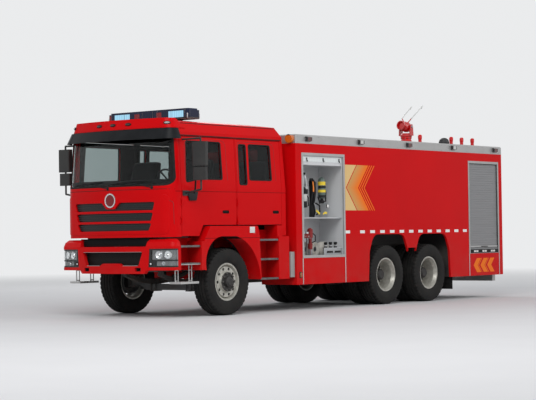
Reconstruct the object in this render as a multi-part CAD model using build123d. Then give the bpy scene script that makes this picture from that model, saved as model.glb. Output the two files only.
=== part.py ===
from build123d import *
import os
from math import asin, cos, radians, sin

# A fire rescue truck with a four-door tilting cab, three axles and a locker body.
# It is drawn in millimetres with X to the truck's left, Y rearward from the front
# axle and Z up from the ground. The last step moves Y so that the origin lies
# under the middle of the whole truck.

# Driving dimensions of the running gear
WHEELBASE = 4375.0
TANDEM = 1400.0
TYRE_R = 530.0
TYRE_W = 315.0
BEAD_R = 286.0
RIM_FLANGE_R = 300.0
RIM_W = 236.0
RIM_WALL = 9.0
FRONT_TRACK = 2030.0
TWIN_TRACK = 1780.0
TWIN_PITCH = 345.0
KINGPIN_X = FRONT_TRACK / 2 - 140
KINGPIN_R = 22.0
PIN_CLEARANCE = 0.3
VENT_HOLES = 10
VENT_HOLE_R = 25.0
VENT_CIRCLE_R = 209.0
VENT_BAND = (172.0, 240.0)
RIM_WELL = 26.0
DISC_T = 14.0
FRONT_DISC_X = 132.0
FRONT_BAND_X = 100.0
TWIN_BAND_X = -150.0
HUB_BORE_R = 42.0
STEER_ARM = 190.0
TIE_ROD_R = 20.0
BALL_R = 12.0

# Chassis frame
SPRING_SPACE = 130.0
FRAME_W = TWIN_TRACK - TWIN_PITCH - TYRE_W - 2 * SPRING_SPACE
RAIL_H = 300.0
RAIL_TOP = 1020.0
RAIL_FLANGE = 80.0
RAIL_T = 8.0
RAIL_FRONT = -1300.0
RAIL_REAR = 8100.0
SPRING_W = 90.0
FRONT_SPRING_HALF = 760.0
FRONT_SPRING_RISE = 150.0
GEARBOX_REAR = 1850.0
SHAFT_Z = 800.0
NOSE_L = 330.0
NOSE_Z = (620.0, 560.0)
BANJO_REAR = 175.0

# Cab: stations from the front axle, heights from the ground
CAB_FRONT = -1450.0
CAB_REAR = 1537.0
CAB_SIDE_X = 1140.0
CAB_BOTTOM = 1250.0
BELT_Z = 2030.0
EAVE_Z = 2880.0
ROOF_EDGE_Z = 3035.0
ROOF_TOP_Z = 3085.0
CAB_WALL = 60.0
FLOOR_Z = 1432.0
FLOOR_T = 48.0
PILLAR_DEPTH = 50.0
DOOR_GAP = 8.0
PANEL_SEAT = 0.3
THROUGH_FRONT = (-1700.0, -1000.0)
CORNER_BACK_Y = -1085.0
DOOR_TOP = 2800.0
ARCH_SILL_Z = 1432.0
FRONT_DOOR_Y = (-1070.0, 246.0)
REAR_DOOR_Y = (280.0, 1420.0)
HINGE_OUT = 12.0
HINGE_R = 9.0
HINGE_PIN_R = 4.5
HINGE_BARREL = 70.0
HINGE_LUG = 22.0
HINGE_HEIGHTS = (1500.0, 1790.0)
GLASS_INSET = 18.0
GLASS_T = 7.0
HANDLE_Y = {"front": FRONT_DOOR_Y[1] - 260, "rear": REAR_DOOR_Y[1] - 150}
HANDLE_Z = (1612.0, 1662.0)
HANDLE_HALF = 80.0
HANDLE_DEPTH = 16.0
HANDLE_CORNER = 18.0
MIRROR_CORNER = 18.0
TILT_Y = -1200.0
TILT_Z = 950.0
TILT_PIN_R = 20.0
TILT_ARM_X = FRAME_W / 2 + 70
TILT_ARM_W = 50.0

# Bumper, wings and steps
BUMPER_FRONT = -1470.0
BUMPER_SIDE_X = 1215.0
BUMPER_TOP = 1110.0
BUMPER_BOTTOM = 690.0
BUMPER_REAR = -1185.0
BUMPER_WALL = 60.0
BUMPER_LIP = 30.0
BUMPER_LIP_DEPTH = 110.0
BUMPER_ARM_W = 40.0
BUMPER_ARM_Z = (735.0, 800.0)
BUMPER_CORNER_X = 1090.0
BUMPER_CORNER_R = 125.0
BUMPER_BOW = 115.0
SHOULDER_TOP = 1222.0
SHOULDER_X = (700.0, 722.0)
LAMP_REAR = BUMPER_REAR - 60
LAMP_RECESS = 26.0
LAMP_BOWL_DEPTH = 20.0
TOW_HALF_W = 55.0
TOW_HALF_H = 27.0
TOW_FRONT = BUMPER_FRONT + 60
TOW_BACK = BUMPER_FRONT + 170
TOW_END = BUMPER_FRONT + 195
TOW_X = 548.0
TOW_Z = 756.0
TOW_BORE_R = 20.0
WING_INNER_X = 850.0
WING_OUTER_X = 1215.0
WING_TOP = 1415.0
ARCH_TOP = 1250.0
STEP_PANEL_X = 930.0
WING_BRACKETS_Y = (-640.0, 765.0, 1500.0)
STEP_OUTER_X = 1190.0
TREAD_T = 30.0
LOOP_X = 1060.0
LOOP_HALF = 32.0
LOOP_R = 9.0
RUNG_R = 7.0

# Body
BODY_FRONT = 1673.0
BODY_REAR = 8346.0
BODY_W = 2500.0
BODY_SKIN = 40.0
BODY_BOTTOM = 430.0
BODY_TOP = 2785.0
BODY_DECK_Z = 1060.0
BODY_SHEET = 30.0
TUNNEL_X = FRAME_W / 2 + 70
WHEELHOUSE_Y = (3700.0, 6480.0)
WHEELHOUSE_TOP = 1250.0
RAIL_BAND_TOP = 2936.0
RAIL_BAND_T = 55.0
ROOF_DECK_T = 40.0
FRAME_PROUD = 6.0
FRAME_BAR = 45.0
SHUTTER_T = 12.0
SLAT = 44.0
SLAT_GROOVE = 4.0
LOCKER_DEPTH = 520.0
LOCKER_SHEET = 12.0
LOCKER_SHELF_Z = 1546.0
# name: (front, rear, bottom, top) of each locker opening in the body's side
LOCKERS = {
    "front": (1835.0, 3064.0, 869.0, 2633.0),
    "rear": (7095.0, 8218.0, 859.0, 2633.0),
}
REAR_OPENING = (-560.0, 560.0, 900.0, 2633.0)
# front and rear foot, front and rear shoulder of each wheel arch in the body's side
BODY_ARCHES = ((3725.0, 5060.0), (5200.0, 6455.0))
BODY_ARCH_WEB_Z = 1000.0
BODY_ARCH_CORNER = 200.0

# Roof gear
LIGHT_BAR_Y = -430.0
LIGHT_BAR_L = 1740.0
LIGHT_BAR_W = 290.0
LIGHT_BAR_Z = (3130.0, 3280.0)
MONITOR_Y = 6870.0
MONITOR_BASE_TOP = 3130.0
MONITOR_PIVOT_Z = 3335.0
CHEEK_X = (112.0, 134.0)
BARREL_AIM = 8.0
ROOF_VENT_Y = 6660.0

SPIGOT = 60.0


def box(x, y, z):
    """A block between the low and high values of each axis."""
    size = (x[1] - x[0], y[1] - y[0], z[1] - z[0])
    middle = ((x[0] + x[1]) / 2, (y[0] + y[1]) / 2, (z[0] + z[1]) / 2)
    return Pos(*middle) * Box(*size)


def outline(points, radius=0.0):
    """A closed outline of straight runs, its corners rounded where a radius is given."""
    if radius:
        return make_face(FilletPolyline(*points, radius=radius, close=True))
    return make_face(Polyline(*points, close=True))


def along_x(points, x, radius=0.0):
    """A side outline of (y, z) points, drawn out between two values of x."""
    start = Plane(origin=(x[0], 0, 0), x_dir=(0, 1, 0), z_dir=(1, 0, 0))
    return extrude(start * outline(points, radius), amount=x[1] - x[0])


def along_y(points, y, radius=0.0):
    """A front outline of (x, z) points, drawn out between two values of y."""
    start = Plane(origin=(0, y[1], 0), x_dir=(1, 0, 0), z_dir=(0, -1, 0))
    return extrude(start * outline(points, radius), amount=y[1] - y[0])


def along_z(points, z, radius=0.0):
    """A plan outline of (x, y) points, drawn out between two heights."""
    start = Plane(origin=(0, 0, z[0]), x_dir=(1, 0, 0), z_dir=(0, 0, 1))
    return extrude(start * outline(points, radius), amount=z[1] - z[0])


def rod(start, end, radius):
    """A round bar from one point to another."""
    a, b = Vector(*start), Vector(*end)
    return extrude(Plane(origin=a, z_dir=b - a) * Circle(radius), amount=(b - a).length)


def turned(profile, x_centre, z_centre, y_centre=0.0):
    """A solid of (x, radius) points turned about a wheel's axis."""
    plane = Plane(origin=(0, 0, 0), x_dir=(1, 0, 0), z_dir=(0, -1, 0))
    solid = revolve(plane * outline(profile), Axis.X)
    return Pos(x_centre, y_centre, z_centre) * solid


def spun(profile, x, y, z=0.0):
    """A solid of (radius, height) points turned about an upright axis."""
    return Pos(x, y, z) * revolve(Plane.XZ * outline(profile), Axis.Z)


def mirrored(shape):
    """The same piece on the truck's other side."""
    return mirror(shape, about=Plane.YZ)


def pair(shape):
    """A piece on the left and its mirror image on the right."""
    return [shape, mirrored(shape)]


def plan_section(z, front, corner_x, corner_y, side, back, rear):
    """A plan outline with a bowed front, front corners that run into the sides and a flat rear."""
    across, along = side - corner_x, back - corner_y
    radius = (across**2 + along**2) / (2 * across)
    half_turn = asin(along / radius) / 2
    bulge_x = side - radius * (1 - cos(half_turn))
    bulge_y = back - radius * sin(half_turn)
    edges = [
        Line((-side, rear), (-side, back)),
        ThreePointArc((-side, back), (-bulge_x, bulge_y), (-corner_x, corner_y)),
        ThreePointArc((-corner_x, corner_y), (0, front), (corner_x, corner_y)),
        ThreePointArc((corner_x, corner_y), (bulge_x, bulge_y), (side, back)),
        Line((side, back), (side, rear)),
        Line((side, rear), (-side, rear)),
    ]
    return Pos(0, 0, z) * make_face(edges)


def plan_loft(sections, inset=0.0, open_rear=0.0):
    """A form through plan sections, drawn in by an inset and carried on past its rear."""
    faces = []
    for z, front, corner_x, corner_y, side, back, rear in sections:
        corner = (corner_x - inset / 2, corner_y + inset)
        bounds = (side - inset, back + inset / 2, rear + open_rear)
        faces.append(plan_section(z, front + inset, *corner, *bounds))
    return loft(faces, ruled=True)


# height, front, corner x, corner y, side x, back of corner, rear
CAB_SECTIONS = (
    (CAB_BOTTOM, CAB_FRONT, 930.0, CAB_FRONT + 105, CAB_SIDE_X, CORNER_BACK_Y, CAB_REAR),
    (BELT_Z, CAB_FRONT, 930.0, CAB_FRONT + 105, CAB_SIDE_X, CORNER_BACK_Y, CAB_REAR),
    (EAVE_Z, CAB_FRONT + 115, 900.0, CAB_FRONT + 215, 1095.0, CORNER_BACK_Y, CAB_REAR - 37),
    (ROOF_EDGE_Z, CAB_FRONT + 190, 850.0, CAB_FRONT + 285, 1030.0, -1000.0, CAB_REAR - 150),
    (ROOF_TOP_Z, CAB_FRONT + 420, 560.0, CAB_FRONT + 480, 700.0, -900.0, CAB_REAR - 420),
)


# the same of the brow over the windscreen and of the sun visor below it
BROW_SECTIONS = (
    (2935.0, CAB_FRONT + 88, 920.0, CAB_FRONT + 193, 1085.0, CORNER_BACK_Y, -900.0),
    (3090.0, CAB_FRONT + 115, 880.0, CAB_FRONT + 215, 1020.0, CORNER_BACK_Y, -1060.0),
)
VISOR_SECTIONS = (
    (2762.0, CAB_FRONT - 18, 965.0, CAB_FRONT + 98, 1180.0, CORNER_BACK_Y - 35, -1105.0),
    (2928.0, CAB_FRONT + 65, 955.0, CAB_FRONT + 180, 1112.0, CORNER_BACK_Y - 20, -1095.0),
)
VISOR_T = 10.0


def cab_form(inset, low=None, high=None):
    """The cab's outer form, drawn in by an inset and kept between two heights."""
    faces = []
    for z, front, corner_x, corner_y, side, back, rear in CAB_SECTIONS:
        drop = inset if z >= ROOF_EDGE_Z else 0.0
        corner = (corner_x - inset / 2, corner_y + inset)
        bounds = (side - inset, back + inset / 2, rear - inset)
        faces.append(plan_section(z - drop, front + inset, *corner, *bounds))
    form = loft(faces, ruled=True)
    if low is None:
        return form
    return form & box((-1500, 1500), (-2000, 2000), (low, high))


def cab_layer(outer, inner, low=CAB_BOTTOM, high=ROOF_TOP_Z):
    """A layer of the cab's wall between two insets and two heights."""
    return cab_form(outer, low, high) - cab_form(inner)


def door_outlines():
    """Side outlines of the two left doors: the front one steps up over the wheel arch."""
    front, rear = FRONT_DOOR_Y
    low = CAB_BOTTOM + 12
    first = [(front, low), (-665, low), (-565, ARCH_SILL_Z), (rear, ARCH_SILL_Z)]
    first += [(rear, DOOR_TOP), (front, DOOR_TOP)]
    front, rear = REAR_DOOR_Y
    second = [(front, ARCH_SILL_Z), (rear, ARCH_SILL_Z), (rear, DOOR_TOP), (front, DOOR_TOP)]
    return {"front": first, "rear": second}


# door: outlines of its window openings, as (y, z) corners
DOOR_WINDOWS = {
    "front": [[(-950, 2095), (-640, 2150), (-80, 2150), (-95, 2735), (-920, 2735)]],
    "rear": [
        [(346, 2076), (540, 2076), (540, 2720), (356, 2720)],
        [(608, 2155), (1180, 2155), (1163, 2725), (612, 2725)],
    ],
}
WINDOW_CORNER = 38.0
SCREEN_CORNER = 110.0
WINDSCREEN = [(-1112, 2052), (1112, 2052), (1062, 2850), (-1062, 2850)]
REAR_WINDOW = [(-620, 2180), (620, 2180), (620, 2700), (-620, 2700)]
# grille row: bottom, top, half width at the bottom, half width at the top
ROW_CORNER = 22.0
GRILLE_ROWS = ((1668, 1795, 816, 850), (1504, 1631, 782, 819), (1354, 1469, 739, 792))


# the same of the panel's tongue that carries the badge down into the top row
BADGE_NOTCH = (1697.0, 1817.0, 85.0, 214.0)
BADGE_Z = 1830.0
BADGE_R = 112.0
BADGE_FRONT = CAB_FRONT - 18
# outline of the raised fascia round the grille, as (x, z) corners
FASCIA = [(-1065, 1300), (1065, 1300), (1065, 1905), (-1065, 1905)]
FASCIA_CORNER = 70.0
FASCIA_PROUD = 7.0


def row_outline(row, grow=0.0):
    """The trapezoid of one grille row."""
    bottom, top, low_half, high_half = row
    low, high = bottom - grow, top + grow
    right = [(low_half + grow, low), (high_half + grow, high)]
    return right + [(-x, z) for x, z in reversed(right)]


def row_mouth(row, grow=0.0):
    """The opening of one grille row, drawn through the panel, the top one round the badge."""
    mouth = along_y(row_outline(row, grow), THROUGH_FRONT, ROW_CORNER)
    if row is GRILLE_ROWS[0]:
        mouth -= along_y(row_outline(BADGE_NOTCH, -grow), THROUGH_FRONT, ROW_CORNER)
    return mouth


def cab_front_panel():
    """The panel under the windscreen, with its raised fascia and three grille openings."""
    panel = cab_layer(0, CAB_WALL, CAB_BOTTOM, BELT_Z)
    fascia = cab_form(-FASCIA_PROUD, CAB_BOTTOM, BELT_Z) - cab_form(CAB_WALL / 2)
    panel += fascia & along_y(FASCIA, THROUGH_FRONT, FASCIA_CORNER)
    panel = panel & box((-1300, 1300), (-2000, CORNER_BACK_Y), (CAB_BOTTOM, BELT_Z))
    for row in GRILLE_ROWS:
        panel -= row_mouth(row)
    return panel


def cab_rear_wall():
    """The flat back of the cab, with a window."""
    wall = cab_layer(0, CAB_WALL, CAB_BOTTOM, EAVE_Z)
    wall = wall & box((-1030, 1030), (1300, 1700), (CAB_BOTTOM, EAVE_Z))
    return wall - along_y(REAR_WINDOW, (1300, 1700), WINDOW_CORNER)


def cab_side():
    """The left side frame: pillars and header round two door openings."""
    deep = CAB_WALL + PILLAR_DEPTH
    skin = cab_layer(0, CAB_WALL, CAB_BOTTOM, EAVE_Z)
    ahead, behind = FRONT_DOOR_Y[0] - DOOR_GAP, REAR_DOOR_Y[1] + DOOR_GAP
    corner = skin & box((0, 1300), (-2000, ahead), (BELT_Z, EAVE_Z))
    corner -= along_y(WINDSCREEN, (-1700, CORNER_BACK_Y - 20), SCREEN_CORNER)
    lower = skin & box((1030, 1300), (CORNER_BACK_Y, ahead), (CAB_BOTTOM, BELT_Z))
    back = skin & box((1030, 1300), (behind, 1700), (CAB_BOTTOM, EAVE_Z))
    header = cab_layer(0, deep, DOOR_TOP + DOOR_GAP, EAVE_Z)
    header = header & box((900, 1300), (CORNER_BACK_Y, behind + 1), (DOOR_TOP, EAVE_Z))
    strip = (FRONT_DOOR_Y[1] + DOOR_GAP, REAR_DOOR_Y[0] - DOOR_GAP)
    post = cab_layer(0, deep, FLOOR_Z + FLOOR_T, DOOR_TOP + 20)
    post = post & box((900, 1300), strip, (FLOOR_Z, DOOR_TOP + 20))
    stop = cab_layer(CAB_WALL + DOOR_GAP, deep, FLOOR_Z + FLOOR_T, DOOR_TOP + 20)
    stop = stop & box((900, 1300), (strip[0] - 50, strip[1] + 50), (FLOOR_Z, DOOR_TOP + 20))
    side = corner + lower + header + post + stop + back
    for axis_y, reach in hinge_axes():
        for z in HINGE_HEIGHTS:
            side += hinge_lugs(axis_y, z, reach)
    return side


def hinge_axes():
    """Each door's hinge line, front then rear, with the reach of the fixed leaf ahead of it."""
    front = FRONT_DOOR_Y[0] - DOOR_GAP / 2
    rear = REAR_DOOR_Y[0] - DOOR_GAP / 2
    return ((front, 34.0), (rear, 20.0))


def hinge_lugs(axis_y, z, reach):
    """A hinge's fixed half: two lugs on a pin, each with a leaf on the pillar."""
    axis_x = CAB_SIDE_X + HINGE_OUT
    half = HINGE_BARREL / 2 + 0.5
    pin = Pos(axis_x, axis_y, z) * Cylinder(HINGE_PIN_R, HINGE_BARREL + 2 * HINGE_LUG)
    for side in (-1, 1):
        middle = z + side * (half + HINGE_LUG / 2)
        lug = Pos(axis_x, axis_y, middle) * Cylinder(HINGE_R, HINGE_LUG)
        span = (middle - HINGE_LUG / 2, middle + HINGE_LUG / 2)
        pin += lug + box((CAB_SIDE_X, axis_x), (axis_y - reach, axis_y), span)
    return pin


def hinge_barrel(axis_y, z):
    """A hinge's moving half: a barrel round the pin, with a leaf on the door."""
    axis_x = CAB_SIDE_X + HINGE_OUT
    span = (z - HINGE_BARREL / 2, z + HINGE_BARREL / 2)
    barrel = Pos(axis_x, axis_y, z) * Cylinder(HINGE_R, HINGE_BARREL)
    barrel += box((CAB_SIDE_X, axis_x), (axis_y, axis_y + 40), span)
    return barrel - Pos(axis_x, axis_y, z) * Cylinder(HINGE_PIN_R + PIN_CLEARANCE, HINGE_BARREL + 2)


def door(which):
    """A left door with its window openings, hinge barrels and the paddle in its handle pocket."""
    panel = cab_layer(0, CAB_WALL, CAB_BOTTOM, EAVE_Z)
    panel = panel & along_x(door_outlines()[which], (900, 1300))
    for window in DOOR_WINDOWS[which]:
        panel -= along_x(window, (900, 1300), WINDOW_CORNER)
    axis_y = hinge_axes()[0][0] if which == "front" else hinge_axes()[1][0]
    for z in HINGE_HEIGHTS:
        panel += hinge_barrel(axis_y, z)
    y, (low, high) = HANDLE_Y[which], HANDLE_Z
    front, rear = y - HANDLE_HALF, y + HANDLE_HALF
    pocket = [(front, low), (rear, low), (rear, high), (front, high)]
    panel -= along_x(pocket, (CAB_SIDE_X - HANDLE_DEPTH, CAB_SIDE_X + 1), HANDLE_CORNER)
    paddle = [(y - 58, high - 30), (y + 58, high - 30), (y + 62, high - 7), (y - 62, high - 7)]
    return panel + along_x(paddle, (CAB_SIDE_X - HANDLE_DEPTH - 1, CAB_SIDE_X - 2))


def door_glass(which):
    """The panes of a left door, set back from its skin."""
    layer = cab_layer(GLASS_INSET, GLASS_INSET + GLASS_T, CAB_BOTTOM, EAVE_Z)
    panes = []
    for window in DOOR_WINDOWS[which]:
        opening = offset(outline(window, WINDOW_CORNER), amount=-PANEL_SEAT)
        start = Plane(origin=(900, 0, 0), x_dir=(0, 1, 0), z_dir=(1, 0, 0))
        panes.append(layer & extrude(start * opening, amount=400))
    return panes


def cab_panes():
    """Windscreen and rear window."""
    layer = cab_layer(GLASS_INSET, GLASS_INSET + GLASS_T, BELT_Z, EAVE_Z)
    screen = offset(outline(WINDSCREEN, SCREEN_CORNER), amount=-PANEL_SEAT)
    rear = offset(outline(REAR_WINDOW, WINDOW_CORNER), amount=-PANEL_SEAT)
    ahead = Plane(origin=(0, -900, 0), x_dir=(1, 0, 0), z_dir=(0, -1, 0))
    behind = Plane(origin=(0, 1700, 0), x_dir=(1, 0, 0), z_dir=(0, -1, 0))
    return [layer & extrude(ahead * screen, amount=800), layer & extrude(behind * rear, amount=400)]


def grille():
    """Three dark rows behind the openings, each with slats, and the badge's plain ring."""
    pieces = []
    for row in GRILLE_ROWS:
        bottom, top = row[0], row[1]
        insert = cab_layer(38, 52, bottom - 20, top + 20)
        for step in (1, 2, 3):
            z = bottom + step * (top - bottom) / 4
            insert += cab_layer(14, 40, z - 7, z + 7)
        pieces.append(insert & row_mouth(row, -PANEL_SEAT))
    ring = rod((0, BADGE_FRONT, BADGE_Z), (0, CAB_FRONT, BADGE_Z), BADGE_R)
    ring -= rod((0, BADGE_FRONT - 1, BADGE_Z), (0, BADGE_FRONT + 5, BADGE_Z), BADGE_R - 20)
    pieces.append(ring - cab_form(-FASCIA_PROUD - PANEL_SEAT))
    return pieces


def cab_roof():
    """The roof shell with the brow that carries the marker lamps over the windscreen."""
    roof = cab_layer(0, CAB_WALL, EAVE_Z, ROOF_TOP_Z)
    return roof + (plan_loft(BROW_SECTIONS) - cab_form(CAB_WALL))


def sun_visor():
    """A dark shade that leans out over the windscreen on four ribs."""
    shade = plan_loft(VISOR_SECTIONS) - plan_loft(VISOR_SECTIONS, VISOR_T, 60.0)
    inside = plan_loft(VISOR_SECTIONS, VISOR_T / 2, 60.0)
    for x in (-760, -260, 260, 760):
        rib = box((x - 12, x + 12), (-2000, -1100), (2855, 2895))
        shade += (inside & rib) - cab_form(-PANEL_SEAT)
    return shade


def light_bar():
    """A long lamp housing with rounded corners on two feet."""
    low, high = LIGHT_BAR_Z
    shell = None
    for layer, side, depth, corner in (((low, high - 25), 1.0, 1.0, 45), ((high - 25, high), 0.97, 0.86, 40)):
        x, y = side * LIGHT_BAR_L / 2, depth * LIGHT_BAR_W / 2
        slab = along_z([(-x, -y), (x, -y), (x, y), (-x, y)], layer, corner)
        shell = slab if shell is None else shell + slab
    for x in (-520, 520):
        shell += box((x - 40, x + 40), (-70, 70), (ROOF_TOP_Z - 40, low))
    return Pos(0, LIGHT_BAR_Y, 0) * shell - cab_form(-PANEL_SEAT)


# outline of a tilt arm from its pin, as (y, z) steps, cranked back to pass the bumper in the tilt
TILT_ARM = (
    (-45, 0), (45, 0), (125, 110), (250, 280),
    (380, FLOOR_Z - TILT_Z), (205, FLOOR_Z - TILT_Z), (140, 290), (42, 165),
)


def cab_floor():
    """The floor pan inside the walls, with the two tilt arms under its front."""
    pan = cab_form(CAB_WALL + PANEL_SEAT, FLOOR_Z, FLOOR_Z + FLOOR_T)
    pan = pan & box((-1070, 1070), (-2000, 2000), (FLOOR_Z, FLOOR_Z + FLOOR_T))
    low, high = TILT_ARM_X - TILT_ARM_W / 2, TILT_ARM_X + TILT_ARM_W / 2
    lever = along_x([(TILT_Y + y, TILT_Z + z) for y, z in TILT_ARM], (low, high))
    lever += rod((low, TILT_Y, TILT_Z), (high, TILT_Y, TILT_Z), 45)
    lever -= rod((low - 1, TILT_Y, TILT_Z), (high + 1, TILT_Y, TILT_Z), TILT_PIN_R + PIN_CLEARANCE)
    return pan + lever + mirrored(lever)


def seat(x, width, y):
    """A seat of a cushion and a raked back on a plinth, seen from the side."""
    floor = FLOOR_Z + FLOOR_T
    side = [(y, floor), (y + 420, floor), (y + 430, floor + 330), (y + 560, floor + 980)]
    side += [(y + 450, floor + 990), (y + 330, floor + 450), (y - 60, floor + 470), (y - 70, floor + 340)]
    return along_x(side, (x - width / 2, x + width / 2))


def cab_interior():
    """Two front seats, a crew bench and the dashboard with its column and wheel."""
    floor = FLOOR_Z + FLOOR_T
    side = [(-1330, floor), (-1200, floor), (-1080, 1900), (-1010, 1960), (-1060, 2040), (-1330, 2010)]
    dash = along_x(side, (-1000, 1000)) & cab_form(CAB_WALL + 2)
    hub = (560, -700, 2120)
    column = rod((560, -1080, 1930), hub, 32)
    tilt = Plane(origin=hub, z_dir=(0, 380, 190))
    ring = Cylinder(230, 28) - Cylinder(202, 40)
    wheel = tilt * chamfer(ring.edges(), 8) + tilt * Cylinder(45, 30)
    for turn in (0, 120, 240):
        wheel += tilt * Rot(0, 0, turn + 90) * Pos(110, 0, 0) * Box(215, 26, 12)
    seats = [seat(560, 520, -480), seat(-560, 520, -480), seat(0, 1880, 820)]
    return [dash + column + wheel] + seats


def mirror_unit():
    """The left mirror pair: two heads on a bowed arm with feet on the door."""
    head = [(1325, -1035), (1590, -1010), (1590, -960), (1560, -925), (1350, -925), (1325, -950)]
    small = [(1325, -1025), (1580, -1000), (1580, -955), (1340, -930)]
    unit = along_z(head, (2335, 2705), MIRROR_CORNER) + along_z(small, (2115, 2315), MIRROR_CORNER)
    unit += rod((1458, -975, 2120), (1458, -975, 2700), 16)
    unit += rod((1110, -1000, 2755), (1458, -975, 2760), 15)
    unit += rod((1458, -975, 2690), (1458, -975, 2760), 15)
    unit += rod((1144, -980, 1925), (1458, -975, 1975), 15)
    unit += rod((1458, -975, 1975), (1458, -975, 2130), 15)
    unit += box((CAB_SIDE_X, 1156), (-1050, -910), (1885, 1965))
    return unit - cab_form(-PANEL_SEAT)


def frame_rail():
    """The left chassis rail, a channel open to the middle."""
    outer = FRAME_W / 2
    low, high = RAIL_TOP - RAIL_H, RAIL_TOP
    bar = box((outer - RAIL_FLANGE, outer), (RAIL_FRONT, RAIL_REAR), (low, high))
    inside = box((0, outer - RAIL_T), (RAIL_FRONT - 1, RAIL_REAR + 1), (low + RAIL_T, high - RAIL_T))
    return bar - inside


MEMBER_H = 143.0
CROSS_MEMBERS_Y = (-1240.0, 2150.0, 3150.0, 5075.0, 6700.0, 8040.0)


def cross_members():
    """Members that seat inside both rails' channels."""
    reach = FRAME_W / 2 - RAIL_T - PANEL_SEAT
    high = RAIL_TOP - RAIL_T - PANEL_SEAT
    low = high - MEMBER_H
    members = []
    for y in CROSS_MEMBERS_Y:
        half = [(45, low), (45, low + 20), (10, low + 40), (10, high - 40), (45, high - 20), (45, high)]
        section = [(y + across, z) for across, z in half] + [(y - across, z) for across, z in reversed(half)]
        members.append(along_x(section, (-reach, reach)))
    return members


def engine():
    """The engine as one plain block, with the tapered gearbox behind it."""
    clear = FRAME_W / 2 - RAIL_FLANGE
    block = box((20 - clear, clear - 20), (-700, 620), (700, 1405))
    block = chamfer(block.edges().group_by(Axis.Z)[-1], 60)
    block = chamfer(block.edges().group_by(Axis.Z)[0], 60)
    foot_z = RAIL_TOP - RAIL_H + RAIL_T + PANEL_SEAT
    for y in (-450, 450):
        block += box((-FRAME_W / 2 + 20, FRAME_W / 2 - 20), (y - 50, y + 50), (foot_z, foot_z + 60))
    big = Plane.XZ.offset(-619) * Pos(0, 900) * Rectangle(2 * clear - 140, 360)
    small = Plane.XZ.offset(-GEARBOX_REAR) * Pos(0, SHAFT_Z) * Rectangle(2 * clear - 400, 240)
    return block + loft([big, small], ruled=True)


def prop_shafts():
    """Shafts from the gearbox to the middle axle and on to the rear one."""
    ends = (
        ((0, GEARBOX_REAR, SHAFT_Z), (0, WHEELBASE - NOSE_L, NOSE_Z[0]), 52),
        ((0, WHEELBASE + BANJO_REAR, NOSE_Z[1]), (0, WHEELBASE + TANDEM - NOSE_L, NOSE_Z[1]), 46),
    )
    shafts = []
    for start, end, radius in ends:
        between = (start[1] + PANEL_SEAT, end[1] - PANEL_SEAT)
        shafts.append(rod(start, end, radius) & box((-90, 90), between, (300, 1000)))
    return shafts


def front_axle():
    """The dropped beam with an eye for each kingpin."""
    low, high = TYRE_R - 62, TYRE_R + 62
    half = [(0, 390), (KINGPIN_X - 315, 390), (KINGPIN_X - 175, 470), (KINGPIN_X, low), (KINGPIN_X, high)]
    half += [(KINGPIN_X - 185, high - 10), (KINGPIN_X - 335, 490), (0, 490)]
    beam = along_y(half, (-42, 42))
    beam += mirrored(beam)
    for x in (-KINGPIN_X, KINGPIN_X):
        beam += rod((x, 0, low), (x, 0, high), 46)
        beam -= rod((x, 0, low - 40), (x, 0, high + 40), KINGPIN_R + PIN_CLEARANCE)
    return beam


def drive_axle(y, nose):
    """A banjo housing with a drive nose ahead and a spindle for each wheel."""
    reach = TWIN_TRACK / 2 + 112
    bar = rod((-reach, y, TYRE_R), (reach, y, TYRE_R), HUB_BORE_R)
    inner = (TWIN_TRACK - TWIN_PITCH - TYRE_W) / 2
    bar += rod((-inner, y, TYRE_R), (inner, y, TYRE_R), 80)
    bar += rod((0, y - 120, TYRE_R + 20), (0, y + BANJO_REAR, TYRE_R + 20), 205)
    return bar + rod((0, y - NOSE_L, nose), (0, y - 100, nose), 85)


def leaf_stack(y, reach, ends, crowns, x):
    """A bowed stack about y between two heights at its ends and two at its middle."""
    low = ThreePointArc((y - reach, ends[0]), (y, crowns[0]), (y + reach, ends[0]))
    high = ThreePointArc((y + reach, ends[1]), (y, crowns[1]), (y - reach, ends[1]))
    front = Line((y - reach, ends[1]), (y - reach, ends[0]))
    rear = Line((y + reach, ends[0]), (y + reach, ends[1]))
    start = Plane(origin=(x[0], 0, 0), x_dir=(0, 1, 0), z_dir=(1, 0, 0))
    return extrude(start * make_face([low, rear, high, front]), amount=x[1] - x[0])


def front_spring():
    """The left front leaf stack on the axle, between two hangers under the rail."""
    seat_z = 490 + PANEL_SEAT
    end_z = seat_z + FRONT_SPRING_RISE
    x = (FRAME_W / 2 - SPRING_W, FRAME_W / 2)
    spring = leaf_stack(0, FRONT_SPRING_HALF, (end_z, end_z + 40), (seat_z, seat_z + 80), x)
    for front in (-FRONT_SPRING_HALF, FRONT_SPRING_HALF - 70):
        hanger = (end_z, RAIL_TOP - RAIL_H - PANEL_SEAT)
        spring += box((x[0] + 15, x[1] - 15), (front, front + 70), hanger)
    return spring


def trunnion_spring():
    """The inverted leaf stack that rests on both drive axles and turns on a trunnion."""
    middle = WHEELBASE + TANDEM / 2
    reach, bow = TANDEM / 2 + 90, 26
    seat_z = TYRE_R + 80 + PANEL_SEAT - bow * (1 - (TANDEM / 2 / reach) ** 2)
    x = (FRAME_W / 2 + 20, FRAME_W / 2 + 100)
    spring = leaf_stack(middle, reach, (seat_z, seat_z + 40), (seat_z + bow, seat_z + 130), x)
    saddle = (middle - 110, middle + 110)
    bracket = (middle - 150, middle + 150)
    spring += box((FRAME_W / 2, x[1] + 5), saddle, (seat_z + 100, seat_z + 150))
    return spring + box((FRAME_W / 2, x[0] - 1), bracket, (seat_z + 100, RAIL_TOP - 40))


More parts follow.
